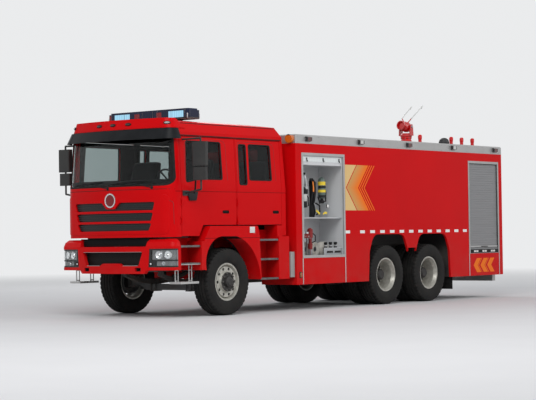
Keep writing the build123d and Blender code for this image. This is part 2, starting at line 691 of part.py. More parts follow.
def cab_mount():
    """A tilt bracket on the left rail, with its pin and the rear rest of the cab."""
    outer = FRAME_W / 2
    half = TILT_ARM_W / 2 + PIN_CLEARANCE
    low, high = TILT_ARM_X - half, TILT_ARM_X + half
    plate = [(TILT_Y - 60, 800), (TILT_Y + 60, 800), (TILT_Y + 45, TILT_Z + 40), (TILT_Y - 45, TILT_Z + 40)]
    bracket = along_x(plate, (outer, low)) + along_x(plate, (high, high + 25))
    bracket += box((outer, high + 25), (TILT_Y - 60, TILT_Y + 60), (800, 890))
    bracket += rod((low, TILT_Y, TILT_Z), (high, TILT_Y, TILT_Z), TILT_PIN_R)
    rest = box((outer - 75, outer - 5), (1380, 1450), (RAIL_TOP, FLOOR_Z - PANEL_SEAT))
    return [bracket, rest]


def bumper_section(z, inset, rear=BUMPER_REAR):
    """A plan section of the bumper, drawn in by an inset."""
    corner = (BUMPER_CORNER_X - inset / 2, BUMPER_FRONT + BUMPER_BOW + inset)
    side, back = BUMPER_SIDE_X - inset, BUMPER_FRONT + BUMPER_BOW + BUMPER_CORNER_R + inset / 2
    return plan_section(z, BUMPER_FRONT + inset, *corner, side, back, rear)


def bumper_form(inset, rear=BUMPER_REAR, low=BUMPER_BOTTOM, high=BUMPER_TOP):
    """The bumper's outer form, drawn in by an inset and kept between two heights."""
    return extrude(bumper_section(low, inset, rear), amount=high - low)


# height and inset of each section of the bumper's raised shoulders
SHOULDER_SECTIONS = ((BUMPER_TOP, 0.0), (1178.0, 22.0), (SHOULDER_TOP, 75.0))


def shoulder(turn):
    """The raised part of the bumper over one headlamp."""
    form = loft([bumper_section(z, inset) for z, inset in SHOULDER_SECTIONS], ruled=True)
    low_x, high_x = SHOULDER_X
    low_z, high_z = BUMPER_TOP - 1, SHOULDER_TOP + 1
    front = [(turn * low_x, low_z), (turn * 1300, low_z), (turn * 1300, high_z), (turn * high_x, high_z)]
    return form & along_y(front, (BUMPER_FRONT - 50, BUMPER_REAR + 1))


def slot_insert():
    """The dark ribbed insert on top of the bumper, between its shoulders."""
    reach, behind = SHOULDER_X[0] - PANEL_SEAT, BUMPER_REAR + 60
    low, high = BUMPER_TOP + PANEL_SEAT, SHOULDER_TOP
    insert = bumper_form(88, low=low, high=high) - bumper_form(BUMPER_LIP_DEPTH, behind, low - 1, high + 1)
    for z in (1126.0, 1158.0, 1190.0):
        insert += bumper_form(72, low=z, high=z + 14) - bumper_form(92, behind, z - 1, z + 15)
    return insert & box((-reach, reach), (BUMPER_FRONT, BUMPER_FRONT + 200), (low, high))


LAMP_OUTLINE = [(745, 790), (1260, 790), (1260, 1075), (765, 1075)]
# the corner's lower edge rises beside the middle of the bumper, as (x, z) points
CORNER_RISE = [(660, 680), (1300, 680), (1300, 742), (710, 742)]
# left, right, bottom, top of each window in the lamp block
LAMP_WINDOWS = ((800.0, 1230.0, 905.0, 1055.0), (880.0, 1230.0, 812.0, 885.0))
# centre x, y, z, turn from straight ahead and radius of each reflector bowl
LAMP_BOWLS = (
    (925.0, -1362.0, 980.0, 10.0, 66.0),
    (1078.0, -1325.0, 980.0, 16.0, 62.0),
    (1000.0, -1349.0, 848.0, 12.0, 30.0),
)
BUMPER_OPENING = [
    (-560, 810), (-240, 810), (-170, 850), (170, 850),
    (240, 810), (560, 810), (640, 1030), (-640, 1030),
]


def bumper():
    """A wrapped bumper with raised shoulders, a middle opening, lamp pockets and two tow pockets."""
    behind = BUMPER_REAR + 60
    ahead = (BUMPER_FRONT - 100, BUMPER_REAR)
    shell = bumper_form(0) - bumper_form(BUMPER_WALL, behind, BUMPER_BOTTOM - 10, BUMPER_TOP - BUMPER_LIP)
    shell -= bumper_form(BUMPER_LIP_DEPTH, behind, BUMPER_BOTTOM - 10, BUMPER_TOP + 10)
    shell -= along_y(BUMPER_OPENING, ahead, 20)
    arm = FRAME_W / 2 + PANEL_SEAT
    for turn in (1, -1):
        shell += shoulder(turn)
        pocket = [(turn * x, z) for x, z in LAMP_OUTLINE]
        shell -= along_y(pocket, (ahead[0], LAMP_REAR))
        corner = [(turn * x, z) for x, z in CORNER_RISE]
        shell -= along_y(corner, (ahead[0], behind))
        span = sorted((turn * arm, turn * (arm + BUMPER_ARM_W)))
        shell += box(span, (BUMPER_FRONT + 70, RAIL_FRONT + 30), BUMPER_ARM_Z)
        shell -= tow_block(turn * TOW_X, PANEL_SEAT, BUMPER_FRONT - 10)
    return shell


def tow_block(x, grow, front):
    """The block of a tow socket, grown all round, from a front to its own end."""
    wide, high = TOW_HALF_W + grow, TOW_HALF_H + grow
    return box((x - wide, x + wide), (front, TOW_END), (TOW_Z - high, TOW_Z + high))


def tow_socket():
    """The left tow socket, set back in its pocket in the bumper."""
    bore = rod((TOW_X, TOW_FRONT - 10, TOW_Z), (TOW_X, TOW_BACK, TOW_Z), TOW_BORE_R)
    return tow_block(TOW_X, 0, TOW_FRONT) - bore


def headlamp():
    """The left lamp block that fills its pocket in the bumper, with bowls behind its two windows."""
    layer = bumper_form(5) - bumper_form(BUMPER_WALL - 2)
    cut = []
    for x, z in LAMP_OUTLINE:
        cut.append((x + PANEL_SEAT if x < 1000 else x, z + (PANEL_SEAT if z < 900 else -PANEL_SEAT)))
    block = layer & along_y(cut, (BUMPER_FRONT - 100, LAMP_REAR - PANEL_SEAT))
    recess = bumper_form(-10) - bumper_form(LAMP_RECESS)
    for left, right, bottom, top in LAMP_WINDOWS:
        window = [(left, bottom), (right, bottom), (right, top), (left, top)]
        block -= recess & along_y(window, (BUMPER_FRONT - 100, LAMP_REAR - 20))
    for x, y, z, turn, radius in LAMP_BOWLS:
        face = Plane(origin=(x, y, z), z_dir=(sin(radians(turn)), -cos(radians(turn)), 0))
        bowl = Cone(radius * 0.45, radius, LAMP_BOWL_DEPTH, align=(Align.CENTER, Align.CENTER, Align.MIN))
        block -= face.offset(-LAMP_BOWL_DEPTH) * bowl
    return block


def wing_arch():
    """The opening over the front wheel: two arcs and a flat top, drawn through the wing."""
    front, rear = (-150, ARCH_TOP), (150, ARCH_TOP)
    edges = [
        ThreePointArc((-577, 700), (-456, 1148), front),
        Line(front, rear),
        ThreePointArc(rear, (631, 930), (760, 540)),
        Polyline((760, 540), (760, 300), (-577, 300), (-577, 700)),
    ]
    start = Plane(origin=(WING_INNER_X - 1, 0, 0), x_dir=(0, 1, 0), z_dir=(1, 0, 0))
    return extrude(start * make_face(edges), amount=WING_OUTER_X - WING_INNER_X + 2)


def cab_wing():
    """The left wing over the front wheel, with the panels of the two step wells."""
    outer = [(-640, 735), (-625, 1200), (-486, WING_TOP), (700, WING_TOP), (745, 1250), (780, 545)]
    wing = along_x(outer, (WING_INNER_X, WING_OUTER_X), 25)
    riser = (STEP_PANEL_X - 30, STEP_PANEL_X)
    wing += box(riser, (BUMPER_REAR + 12, -600), (735, 1235))
    wing += box((riser[0], WING_OUTER_X), (-700, -600), (735, 1180))
    wing += box(riser, (740, CAB_REAR), (538, 1240))
    wing += box(riser, (740, 1424), (1240, 1350))
    wing += box((riser[0], 1200), (1262, CAB_REAR), (538, 1240))
    wing += box((riser[0], 1170), (1262, 1398), (1240, 1420))
    for y in WING_BRACKETS_Y:
        wing += box((FRAME_W / 2 + PANEL_SEAT, STEP_PANEL_X - 20), (y - 20, y + 20), (950, 990))
    return wing - wing_arch()


# side-step tread: front, rear, top
TREADS = ((-1155, -705, 1120), (-1155, -705, 850), (776, 1257, 1200), (776, 1257, 885), (784, 1257, 568))


def step_treads():
    """Aluminium treads on the step wells, and the lower step that hangs on two tube loops."""
    inner = STEP_PANEL_X + PANEL_SEAT
    pieces = []
    for front, rear, top in TREADS:
        pieces.append(box((inner, STEP_OUTER_X), (front, rear), (top - TREAD_T, top)))
    hanging = box((960, STEP_OUTER_X), (-1170, -746), (527, 560))
    tread_bottom = TREADS[1][2] - TREAD_T - PANEL_SEAT
    for y in (-1120, -800):
        for side in (-LOOP_HALF, LOOP_HALF):
            hanging += rod((LOOP_X, y + side, 545), (LOOP_X, y + side, tread_bottom), LOOP_R)
        for z in (575, 735):
            hanging += rod((LOOP_X, y - LOOP_HALF, z), (LOOP_X, y + LOOP_HALF, z), RUNG_R)
    pieces.append(hanging)
    return pieces


def battery_box():
    """A steel box on the left in the gap behind the cab, and an air tank on the right."""
    case = box((FRAME_W / 2 + PANEL_SEAT, BODY_W / 2 - 35), (1553, 1660), (560, 980))
    tank = rod((100 - BODY_W / 2, 1606, 700), (-FRAME_W / 2 - 20, 1606, 700), 52)
    tank += box((-FRAME_W / 2 - 60, -FRAME_W / 2 - PANEL_SEAT), (1575, 1640), (700, 900))
    return [case, tank]


def body_side():
    """A side skin of the body with its wheel arches and locker openings."""
    low, high = BODY_W / 2 - BODY_SKIN, BODY_W / 2
    through = (low - 1, high + 1)
    skin = box((low, high), (BODY_FRONT, BODY_REAR), (BODY_BOTTOM, BODY_TOP))
    for front, rear in BODY_ARCHES:
        half = [(0, 100), (60, 950), (190, WHEELHOUSE_TOP)]
        arch = [(front + y, z) for y, z in half] + [(rear - y, z) for y, z in reversed(half)]
        skin -= along_x(arch, through, BODY_ARCH_CORNER)
    between = (BODY_ARCHES[0][1] - 60, BODY_ARCHES[1][0] + 60)
    skin -= box(through, between, (300, BODY_ARCH_WEB_Z))
    for front, rear, bottom, top in LOCKERS.values():
        skin -= box(through, (front, rear), (bottom, top))
    return skin


def body_end_walls():
    """The front and rear walls, stepped up over the chassis frame."""
    side, low = BODY_W / 2 - BODY_SKIN - PANEL_SEAT, BODY_BOTTOM
    half = [(TUNNEL_X, BODY_DECK_Z), (TUNNEL_X, low), (side, low), (side, BODY_TOP)]
    shape = half + [(-x, z) for x, z in reversed(half)]
    front = along_y(shape, (BODY_FRONT, BODY_FRONT + BODY_SKIN))
    rear = along_y(shape, (BODY_REAR - BODY_SKIN, BODY_REAR))
    left, right, bottom, top = REAR_OPENING
    return [front, rear - box((left, right), (BODY_REAR - 100, BODY_REAR + 100), (bottom, top))]


def body_floor():
    """Pressed floor with side locker bottoms, a tunnel for the frame and wheelhouses."""
    side, sheet = BODY_W / 2 - BODY_SKIN - PANEL_SEAT, BODY_SHEET
    front, rear = BODY_FRONT + BODY_SKIN + PANEL_SEAT, BODY_REAR - BODY_SKIN - PANEL_SEAT
    low, deck, inner = BODY_BOTTOM, BODY_DECK_Z, TUNNEL_X
    hat = [(inner, low), (side, low), (side, low + sheet), (inner + sheet, low + sheet)]
    hat.append((inner + sheet, deck + sheet))
    hat += [(-x, z) for x, z in reversed(hat)]
    hat += [(-inner, deck), (inner, deck)]
    pressed = along_y(hat, (front, WHEELHOUSE_Y[0])) + along_y(hat, (WHEELHOUSE_Y[1], rear))
    top = WHEELHOUSE_TOP
    house = [(inner, deck), (inner + sheet, deck), (inner + sheet, top), (side, top), (side, top + sheet)]
    house += [(-x, z) for x, z in reversed(house)]
    house += [(-inner, top), (inner, top)]
    pressed += along_y(house, WHEELHOUSE_Y)
    for start in (WHEELHOUSE_Y[0] - sheet, WHEELHOUSE_Y[1]):
        wall = (start, start + sheet)
        pressed += box((inner, side), wall, (low, top + sheet))
        pressed += box((-side, -inner), wall, (low, top + sheet))
        pressed += box((-inner - 1, inner + 1), wall, (deck, top + sheet))
    return pressed


def sub_frame():
    """Long timbers between the chassis rails and the body's floor."""
    across = (FRAME_W / 2 - RAIL_FLANGE, FRAME_W / 2)
    return box(across, (BODY_FRONT + 60, RAIL_REAR), (RAIL_TOP + PANEL_SEAT, BODY_DECK_Z - PANEL_SEAT))


ROOF_POSTS_Y = (5830.0, 6915.0, 7290.0, 7680.0)
ROOF_POST_X = BODY_W / 2 - 250


def roof_deck():
    """The roof plate with the monitor's riser, a round vent and the row of small pipe posts."""
    side = BODY_W / 2 - RAIL_BAND_T - PANEL_SEAT
    low, high = BODY_TOP + PANEL_SEAT, BODY_TOP + PANEL_SEAT + ROOF_DECK_T
    along = (BODY_FRONT + RAIL_BAND_T + PANEL_SEAT, BODY_REAR - RAIL_BAND_T - PANEL_SEAT)
    deck = box((-side, side), along, (low, high))
    top = MONITOR_BASE_TOP
    riser = [(0, high - 1), (140, high - 1), (140, high + 20), (96, high + 30), (106, 2960), (106, top - 60)]
    riser += [(92, top - 28), (110, top - 20), (110, top), (30, top), (30, top + SPIGOT), (0, top + SPIGOT)]
    deck += spun(riser, 0, MONITOR_Y)
    vent = [(0, high - 1), (100, high - 1), (100, 2985), (84, 3032), (46, 3060), (0, 3068)]
    deck += spun(vent, ROOF_POST_X, ROOF_VENT_Y)
    post = [(0, high - 1), (32, high - 1), (32, 3000), (38, 3030), (38, 3078), (24, 3095), (0, 3095)]
    for y in ROOF_POSTS_Y:
        deck += spun(post, ROOF_POST_X, y)
    return deck


def roof_rail():
    """The bright band round the roof, with a rolled top edge."""
    half, t = BODY_W / 2, RAIL_BAND_T
    low = BODY_TOP + PANEL_SEAT
    ring = box((-half, half), (BODY_FRONT, BODY_REAR), (low, RAIL_BAND_TOP))
    ring = chamfer(ring.edges().group_by(Axis.Z)[-1], 18)
    return ring - box((-half + t, half - t), (BODY_FRONT + t, BODY_REAR - t), (low - 1, RAIL_BAND_TOP + 1))


def slatted(width, bottom, top):
    """A shutter's curtain: grooved slats over a height, drawn along its width."""
    count = int((top - bottom) // SLAT)
    pitch = (top - bottom) / count
    face = [(0, bottom), (SHUTTER_T, bottom)]
    for slat in range(1, count):
        z = bottom + slat * pitch
        face += [(SHUTTER_T, z - 6), (SHUTTER_T - SLAT_GROOVE, z), (SHUTTER_T, z + 6)]
    face += [(SHUTTER_T, top), (0, top)]
    return along_y(face, (0, width))


def roller_shutters():
    """Curtains of the left rear, both right and the rear openings."""
    inner = BODY_W / 2 - 26
    edge = PANEL_SEAT + FRAME_BAR - 12
    curtains = []
    for name, side in (("rear", 1), ("front", -1), ("rear", -1)):
        front, rear, bottom, top = LOCKERS[name]
        curtain = slatted(rear - front - 2 * edge, bottom + edge + 28, top - edge)
        curtain = Pos(inner, front + edge, 0) * curtain
        curtains.append(curtain if side > 0 else mirrored(curtain))
    left, right, bottom, top = REAR_OPENING
    curtain = slatted(right - left - 2 * edge, bottom + edge + 28, top - edge)
    curtains.append(Pos(right - edge, BODY_REAR - 26, 0) * Rot(0, 0, 90) * curtain)
    return curtains


def shutter_frame(width, bottom, top):
    """The bright surround of an opening, with a slot for the curtain."""
    low, high = -BODY_SKIN, FRAME_PROUD
    bar, slot = FRAME_BAR, FRAME_BAR - 13
    frame = box((low, high), (0, width), (bottom, top))
    frame -= box((low - 1, high + 1), (bar, width - bar), (bottom + bar, top - bar))
    deep = (-26 - PANEL_SEAT, -26 + SHUTTER_T + PANEL_SEAT)
    return frame - box(deep, (slot, width - slot), (bottom + slot, top - slot))


def locker_frames():
    """Surrounds of all five openings, the open one with its liner and shelf."""
    frames = []
    gap = PANEL_SEAT
    for name, side in (("front", 1), ("rear", 1), ("front", -1), ("rear", -1)):
        front, rear, bottom, top = LOCKERS[name]
        frame = shutter_frame(rear - front - 2 * gap, bottom + gap, top - gap)
        frame = Pos(BODY_W / 2, front + gap, 0) * frame
        if name == "front" and side > 0:
            frame += locker_liner()
        frames.append(frame if side > 0 else mirrored(frame))
    left, right, bottom, top = REAR_OPENING
    frame = shutter_frame(right - left - 2 * gap, bottom + gap, top - gap)
    frames.append(Pos(right - gap, BODY_REAR, 0) * Rot(0, 0, 90) * frame)
    return frames


def locker_liner():
    """The open locker's sheet box with a shelf and the shutter's drum case."""
    front, rear, bottom, top = LOCKERS["front"]
    outer, inner = BODY_W / 2 - BODY_SKIN, BODY_W / 2 - BODY_SKIN - LOCKER_DEPTH
    sheet = LOCKER_SHEET
    liner = box((inner, outer), (front, rear), (bottom, top))
    liner -= box((inner + sheet, outer + 1), (front + sheet, rear - sheet), (bottom + sheet, top - sheet))
    liner += box((inner, outer - 30), (front, rear), (LOCKER_SHELF_Z - sheet, LOCKER_SHELF_Z))
    liner += box((outer - 210, outer), (front, rear), (top - 200, top))
    return liner


def hose_rolls():
    """Three flat hose rolls on the lower shelf."""
    front, _, bottom, _ = LOCKERS["front"]
    floor = bottom + LOCKER_SHEET + PANEL_SEAT
    rolls = []
    for y in (front + 330, front + 610, front + 890):
        roll = rod((960, y, floor + 130), (1050, y, floor + 130), 130)
        roll -= rod((955, y, floor + 130), (1055, y, floor + 130), 40)
        rolls.append(roll)
    return rolls


def rescue_gear():
    """A breathing cylinder on its back plate and a spreading tool on the upper shelf."""
    floor = LOCKER_SHELF_Z + PANEL_SEAT
    cylinder = rod((1000, 2720, floor), (1000, 2720, floor + 560), 88)
    cylinder += box((900, 925), (2600, 2840), (floor, floor + 640))
    tool = rod((1000, 2180, floor), (1000, 2180, floor + 480), 62)
    half = [(50, 460), (90, 640), (30, 780)]
    head = [(2180 - y, floor + z) for y, z in half] + [(2180 + y, floor + z) for y, z in reversed(half)]
    return [cylinder, tool + along_x(head, (980, 1020))]


UNDERRUN_Z = (305.0, 425.0)
SIDE_LAMPS_Y = (2020.0, 3540.0, 5055.0, 6570.0, 8080.0)
SIDE_LAMP_Z = 2862.0


def body_lamps():
    """Wedge lamps along the roof band, amber lamps at its front and round lamps at the tail."""
    lamps = []
    for y in SIDE_LAMPS_Y:
        wedge = [(0, -46), (52, -30), (52, 30), (0, 46)]
        lamp = along_y([(x + BODY_W / 2 + PANEL_SEAT, z + SIDE_LAMP_Z) for x, z in wedge], (y - 62, y + 62))
        lamps += pair(lamp)
    x = BODY_W / 2 - 90
    lamps += pair(rod((x, BODY_FRONT - 70, SIDE_LAMP_Z), (x, BODY_FRONT - PANEL_SEAT, SIDE_LAMP_Z), 72))
    for x in (BODY_W / 2 - 230, BODY_W / 2 - 120):
        lamps += pair(rod((x, BODY_REAR + PANEL_SEAT, 640), (x, BODY_REAR + 32, 640), 50))
    return lamps


def rear_fittings():
    """The roof ladder on the right of the rear wall and the underrun bar below it."""
    ladder = None
    for x in (-1090, -740):
        stile = rod((x, BODY_REAR + 95, 820), (x, BODY_REAR + 95, 3000), 16)
        for z in (900, 1900, 2700):
            stile += rod((x, BODY_REAR + PANEL_SEAT, z), (x, BODY_REAR + 95, z), 12)
        ladder = stile if ladder is None else ladder + stile
    for step in range(7):
        z = 960 + step * 290
        ladder += rod((-1090, BODY_REAR + 95, z), (-740, BODY_REAR + 95, z), 13)
    low, high = UNDERRUN_Z
    bar = box((170 - BODY_W / 2, BODY_W / 2 - 170), (BODY_REAR - 130, BODY_REAR - 20), (low, high))
    for x in (-FRAME_W / 2 + 10, FRAME_W / 2 - 70):
        wide, rail_bottom = (x, x + 60), RAIL_TOP - RAIL_H - PANEL_SEAT
        bar += box(wide, (RAIL_REAR - 200, BODY_REAR - 100), (high - 60, high))
        bar += box(wide, (RAIL_REAR - 200, RAIL_REAR - 80), (high - 60, rail_bottom))
    return [ladder, bar]


def mud_flaps():
    """Rubber flaps behind the last wheels and behind the front ones."""
    rear = box((TUNNEL_X + 75, BODY_W / 2 - 35), (6530, 6538), (200, BODY_BOTTOM - PANEL_SEAT))
    return pair(rear)


def tyre_profile():
    """Half-round shouldered section of a tyre, as (x, radius) points from its inner bead."""
    half, bead = TYRE_W / 2, BEAD_R + PANEL_SEAT
    seat_x = RIM_W / 2 - RIM_WALL - PANEL_SEAT
    side = [(seat_x, bead), (seat_x, RIM_FLANGE_R), (half, bead + 100), (half - 6, TYRE_R - 60)]
    side.append((half - 34, TYRE_R))
    return side + [(-x, r) for x, r in reversed(side)]


def tyre(x, y):
    """One tyre about its axle line."""
    return turned(tyre_profile(), x, TYRE_R, y)


def rim_barrel():
    """The barrel of a rim with its flanges, bead seats and well, as (x, radius) points."""
    half, wall, well = RIM_W / 2, RIM_WALL, BEAD_R - RIM_WELL
    ring = [(half - 60, well - wall), (half, BEAD_R - wall), (half, RIM_FLANGE_R)]
    ring += [(half - wall, RIM_FLANGE_R), (half - wall, BEAD_R), (half - 56, well)]
    return ring + [(-x, r) for x, r in reversed(ring)]


def rim_disc(mount_x, band_x, edge_x):
    """A dished disc: mounting face on the hub, flat band of hand holes, edge in the barrel's well."""
    well, bore = BEAD_R - RIM_WELL - RIM_WALL + 2, HUB_BORE_R + PIN_CLEARANCE
    lean = -DISC_T if mount_x > edge_x else DISC_T
    low, high = VENT_BAND
    face = [(edge_x, well), (band_x, high), (band_x, low), (mount_x, low - 14), (mount_x, bore)]
    back = [(mount_x + lean, bore), (mount_x + lean, low - 22)]
    back += [(band_x + lean, low - 8), (band_x + lean, high - 5)]
    return face + back + [(edge_x + lean, well)]


def vented(disc, x, y):
    """A wheel disc with its ring of hand holes."""
    for hole in range(VENT_HOLES):
        turn = radians(360 * hole / VENT_HOLES)
        at = (VENT_CIRCLE_R * cos(turn) + y, VENT_CIRCLE_R * sin(turn) + TYRE_R)
        disc -= rod((x - 170, at[0], at[1]), (x + 170, at[0], at[1]), VENT_HOLE_R)
    return disc


def hub(low, high, radius):
    """A hub's drum round its spindle, as (x, radius) points."""
    bore = HUB_BORE_R + PIN_CLEARANCE
    return [(low, bore), (high, bore), (high, radius), (low, radius)]


def front_rim(x):
    """The left front rim, its disc bulging out to a hub with a cap."""
    face = FRONT_DISC_X
    disc = turned(rim_disc(face, FRONT_BAND_X, 62), x, TYRE_R)
    wheel = turned(rim_barrel(), x, TYRE_R) + vented(disc, x, 0)
    wheel += turned(hub(-40, face - 4, 118), x, TYRE_R)
    cap = [(face - 6, 0), (face + 62, 0), (face + 62, 52), (face + 40, 84), (face - 6, 92)]
    return wheel + turned(cap, x, TYRE_R)


def twin_rim(x, y):
    """A pair of left rims bolted back to back on one hub."""
    outer_x, inner_x = x + TWIN_PITCH / 2, x - TWIN_PITCH / 2
    disc = rim_disc(1 - TWIN_PITCH / 2, TWIN_BAND_X, -62)
    outer = turned(rim_barrel(), outer_x, TYRE_R, y) + vented(turned(disc, outer_x, TYRE_R, y), outer_x, y)
    back = [(-a, r) for a, r in reversed(disc)]
    inner = turned(rim_barrel(), inner_x, TYRE_R, y) + vented(turned(back, inner_x, TYRE_R, y), inner_x, y)
    drum = turned(hub(-90, 118, 112), x, TYRE_R, y)
    cap = turned([(117, 0), (205, 0), (205, 70), (180, 96), (117, 104)], x, TYRE_R, y)
    return outer + inner + drum + cap


def knuckle():
    """The left steering knuckle: kingpin, fork, spindle and its rearward arm."""
    low, high = TYRE_R - 62 - PIN_CLEARANCE, TYRE_R + 62 + PIN_CLEARANCE
    x = KINGPIN_X
    pin = Pos(x, 0, TYRE_R) * Cylinder(KINGPIN_R, high - low + 10)
    fork = box((x - 40, x + 85), (-40, 40), (low - 34, low))
    fork += box((x - 40, x + 85), (-40, 40), (high, high + 34))
    fork += box((x + 55, x + 85), (-55, 55), (low - 34, high + 34))
    spindle = rod((x + 60, 0, TYRE_R), (FRONT_TRACK / 2 + 100, 0, TYRE_R), HUB_BORE_R)
    plan = [(x + 85, -20), (x + 85, 40), (x + 15, STEER_ARM + 25), (x - 25, STEER_ARM + 25)]
    plan += [(x - 25, STEER_ARM - 25), (x + 30, 40), (x + 30, -20)]
    arm = along_z(plan, (low - 34, low - 8))
    ball = rod((x, STEER_ARM, low - 30), (x, STEER_ARM, low - 70), BALL_R)
    return pin + fork + spindle + arm + ball


def tie_rod():
    """The bar that joins both steering arms under their ends."""
    z = TYRE_R - 62 - PIN_CLEARANCE - 36 - TIE_ROD_R
    bar = rod((-KINGPIN_X, STEER_ARM, z), (KINGPIN_X, STEER_ARM, z), TIE_ROD_R)
    for x in (-KINGPIN_X, KINGPIN_X):
        bar += Pos(x, STEER_ARM, z) * Cylinder(27, 34)
        bar -= Pos(x, STEER_ARM, z) * Cylinder(BALL_R + PIN_CLEARANCE, 60)
    return bar


def monitor_swivel():
    """The monitor's turning head with two cheeks that carry the barrel on a pin."""
    low = MONITOR_BASE_TOP + PIN_CLEARANCE
    bulb = [(0, low), (104, low), (118, low + 22), (118, low + 56), (98, low + 78), (0, low + 78)]
    head = spun(bulb, 0, MONITOR_Y)
    head += box((-CHEEK_X[1], CHEEK_X[1]), (MONITOR_Y - 45, MONITOR_Y + 45), (low + 30, low + 74))
    head -= Pos(0, MONITOR_Y, low + 20) * Cylinder(30 + PIN_CLEARANCE, 90)
    half = [(60, low + 30 - MONITOR_PIVOT_Z), (48, 0), (24, 48)]
    side = [(MONITOR_Y - y, MONITOR_PIVOT_Z + z) for y, z in half]
    side += [(MONITOR_Y + y, MONITOR_PIVOT_Z + z) for y, z in reversed(half)]
    cheek = along_x(side, CHEEK_X)
    reach = CHEEK_X[1] - 2
    pin = rod((-reach, MONITOR_Y, MONITOR_PIVOT_Z), (reach, MONITOR_Y, MONITOR_PIVOT_Z), 12)
    return head + cheek + mirrored(cheek) + pin


# radius and distance along its axis of each point of the monitor's barrel, from its rear
BARREL = (
    (0, -100), (52, -100), (94, -58), (104, 0), (96, 70), (74, 120),
    (90, 196), (72, 196), (58, 150), (0, 150),
)



def monitor_barrel():
    """The stout barrel with its flared nozzle, on the swivel's pin, and two tiller bars."""
    y, z = MONITOR_Y, MONITOR_PIVOT_Z
    lift = radians(BARREL_AIM)
    aim = Plane(origin=(0, y, z), x_dir=(1, 0, 0), z_dir=(0, -cos(lift), sin(lift)))
    barrel = aim * revolve(Plane.XZ * outline(BARREL), Axis.Z)
    for side in (-1, 1):
        elbow = (side * 118, y + 40, z + 175)
        barrel += rod((side * 40, y + 5, z + 80), elbow, 10) + Pos(*elbow) * Sphere(10)
        barrel += rod(elbow, (side * 130, y + 400, z + 425), 10)
    return barrel - rod((-120, y, z), (120, y, z), 12 + PIN_CLEARANCE)


def side_named(name, shape):
    """A left piece and its mirror image as two named sub-parts."""
    shapes = shape if isinstance(shape, list) else [shape]
    return {name + "_left": shapes, name + "_right": [mirrored(one) for one in shapes]}


def build():
    """Every sub-part of the truck by name, each a list of its solids."""
    middle, last = WHEELBASE, WHEELBASE + TANDEM
    parts = {
        "frame_rails": pair(frame_rail()) + pair(sub_frame()),
        "cross_members": cross_members(),
        "engine": [engine()],
        "prop_shafts": prop_shafts(),
        "axles": [front_axle(), drive_axle(middle, NOSE_Z[0]), drive_axle(last, NOSE_Z[1])],
        "leaf_springs": pair(front_spring()) + pair(trunnion_spring()),
        "cab_mounts": cab_mount() + [mirrored(one) for one in cab_mount()],
        "front_bumper": [bumper(), slot_insert()] + pair(tow_socket()),
        "headlamps": pair(headlamp()),
        "cab_wings": pair(cab_wing()),
        "step_treads": step_treads() + [mirrored(one) for one in step_treads()],
        "battery_box": battery_box(),
        "body_sides": pair(body_side()),
        "body_end_walls": body_end_walls(),
        "body_floor": [body_floor()],
        "roof_deck": [roof_deck()],
        "roof_rail": [roof_rail()],
        "roller_shutters": roller_shutters(),
        "locker_frames": locker_frames(),
        "hose_rolls": hose_rolls(),
        "rescue_gear": rescue_gear(),
        "body_lamps": body_lamps(),
        "rear_fittings": rear_fittings(),
        "mud_flaps": mud_flaps(),
        "cab_floor": [cab_floor()],
        "cab_end_panels": [cab_front_panel(), cab_rear_wall()],
        "grille": grille(),
        "cab_sides": pair(cab_side()),
        "cab_roof": [cab_roof()],
        "cab_glass": cab_panes(),
        "sun_visor": [sun_visor()],
        "light_bar": [light_bar()],
        "cab_interior": cab_interior(),
        "tie_rod": [tie_rod()],
        "monitor_swivel": [monitor_swivel()],
        "monitor_barrel": [monitor_barrel()],
    }
    for which in ("front", "rear"):
        parts |= side_named("door_" + which, door(which))
        parts |= side_named("glass_" + which, door_glass(which))
    parts |= side_named("mirror", mirror_unit())
    parts |= side_named("knuckle", knuckle())
    front_x, twin_x = FRONT_TRACK / 2, TWIN_TRACK / 2
    parts |= side_named("tyre_front", tyre(front_x, 0))
    parts |= side_named("rim_front", front_rim(front_x))
    for place, y in (("middle", middle), ("rear", last)):
        tyres = [tyre(twin_x + side * TWIN_PITCH / 2, y) for side in (-1, 1)]
        parts |= side_named("tyre_" + place, tyres)
        parts |= side_named("rim_" + place, twin_rim(twin_x, y))
    return parts


def middle_y():
    """Half way between the bumper's front and the ladder's back."""
    return (BUMPER_FRONT + BODY_REAR + 95 + 16) / 2


if __name__ == "__main__":
    os.makedirs("parts", exist_ok=True)
    for name, solids in build().items():
        whole = Pos(0, -middle_y(), 0) * Compound(children=[Part() + one for one in solids])
        export_step(whole, f"parts/{name}.step")
    print("middle", middle_y())
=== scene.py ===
"""Finishes, fittings and stage of a fire rescue truck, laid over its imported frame."""

from functools import cache
from math import cos, pi, radians, sin, sqrt

import bmesh
import bpy
from bpy.props import FloatProperty, FloatVectorProperty, IntProperty, PointerProperty
from mathutils import Matrix, Vector


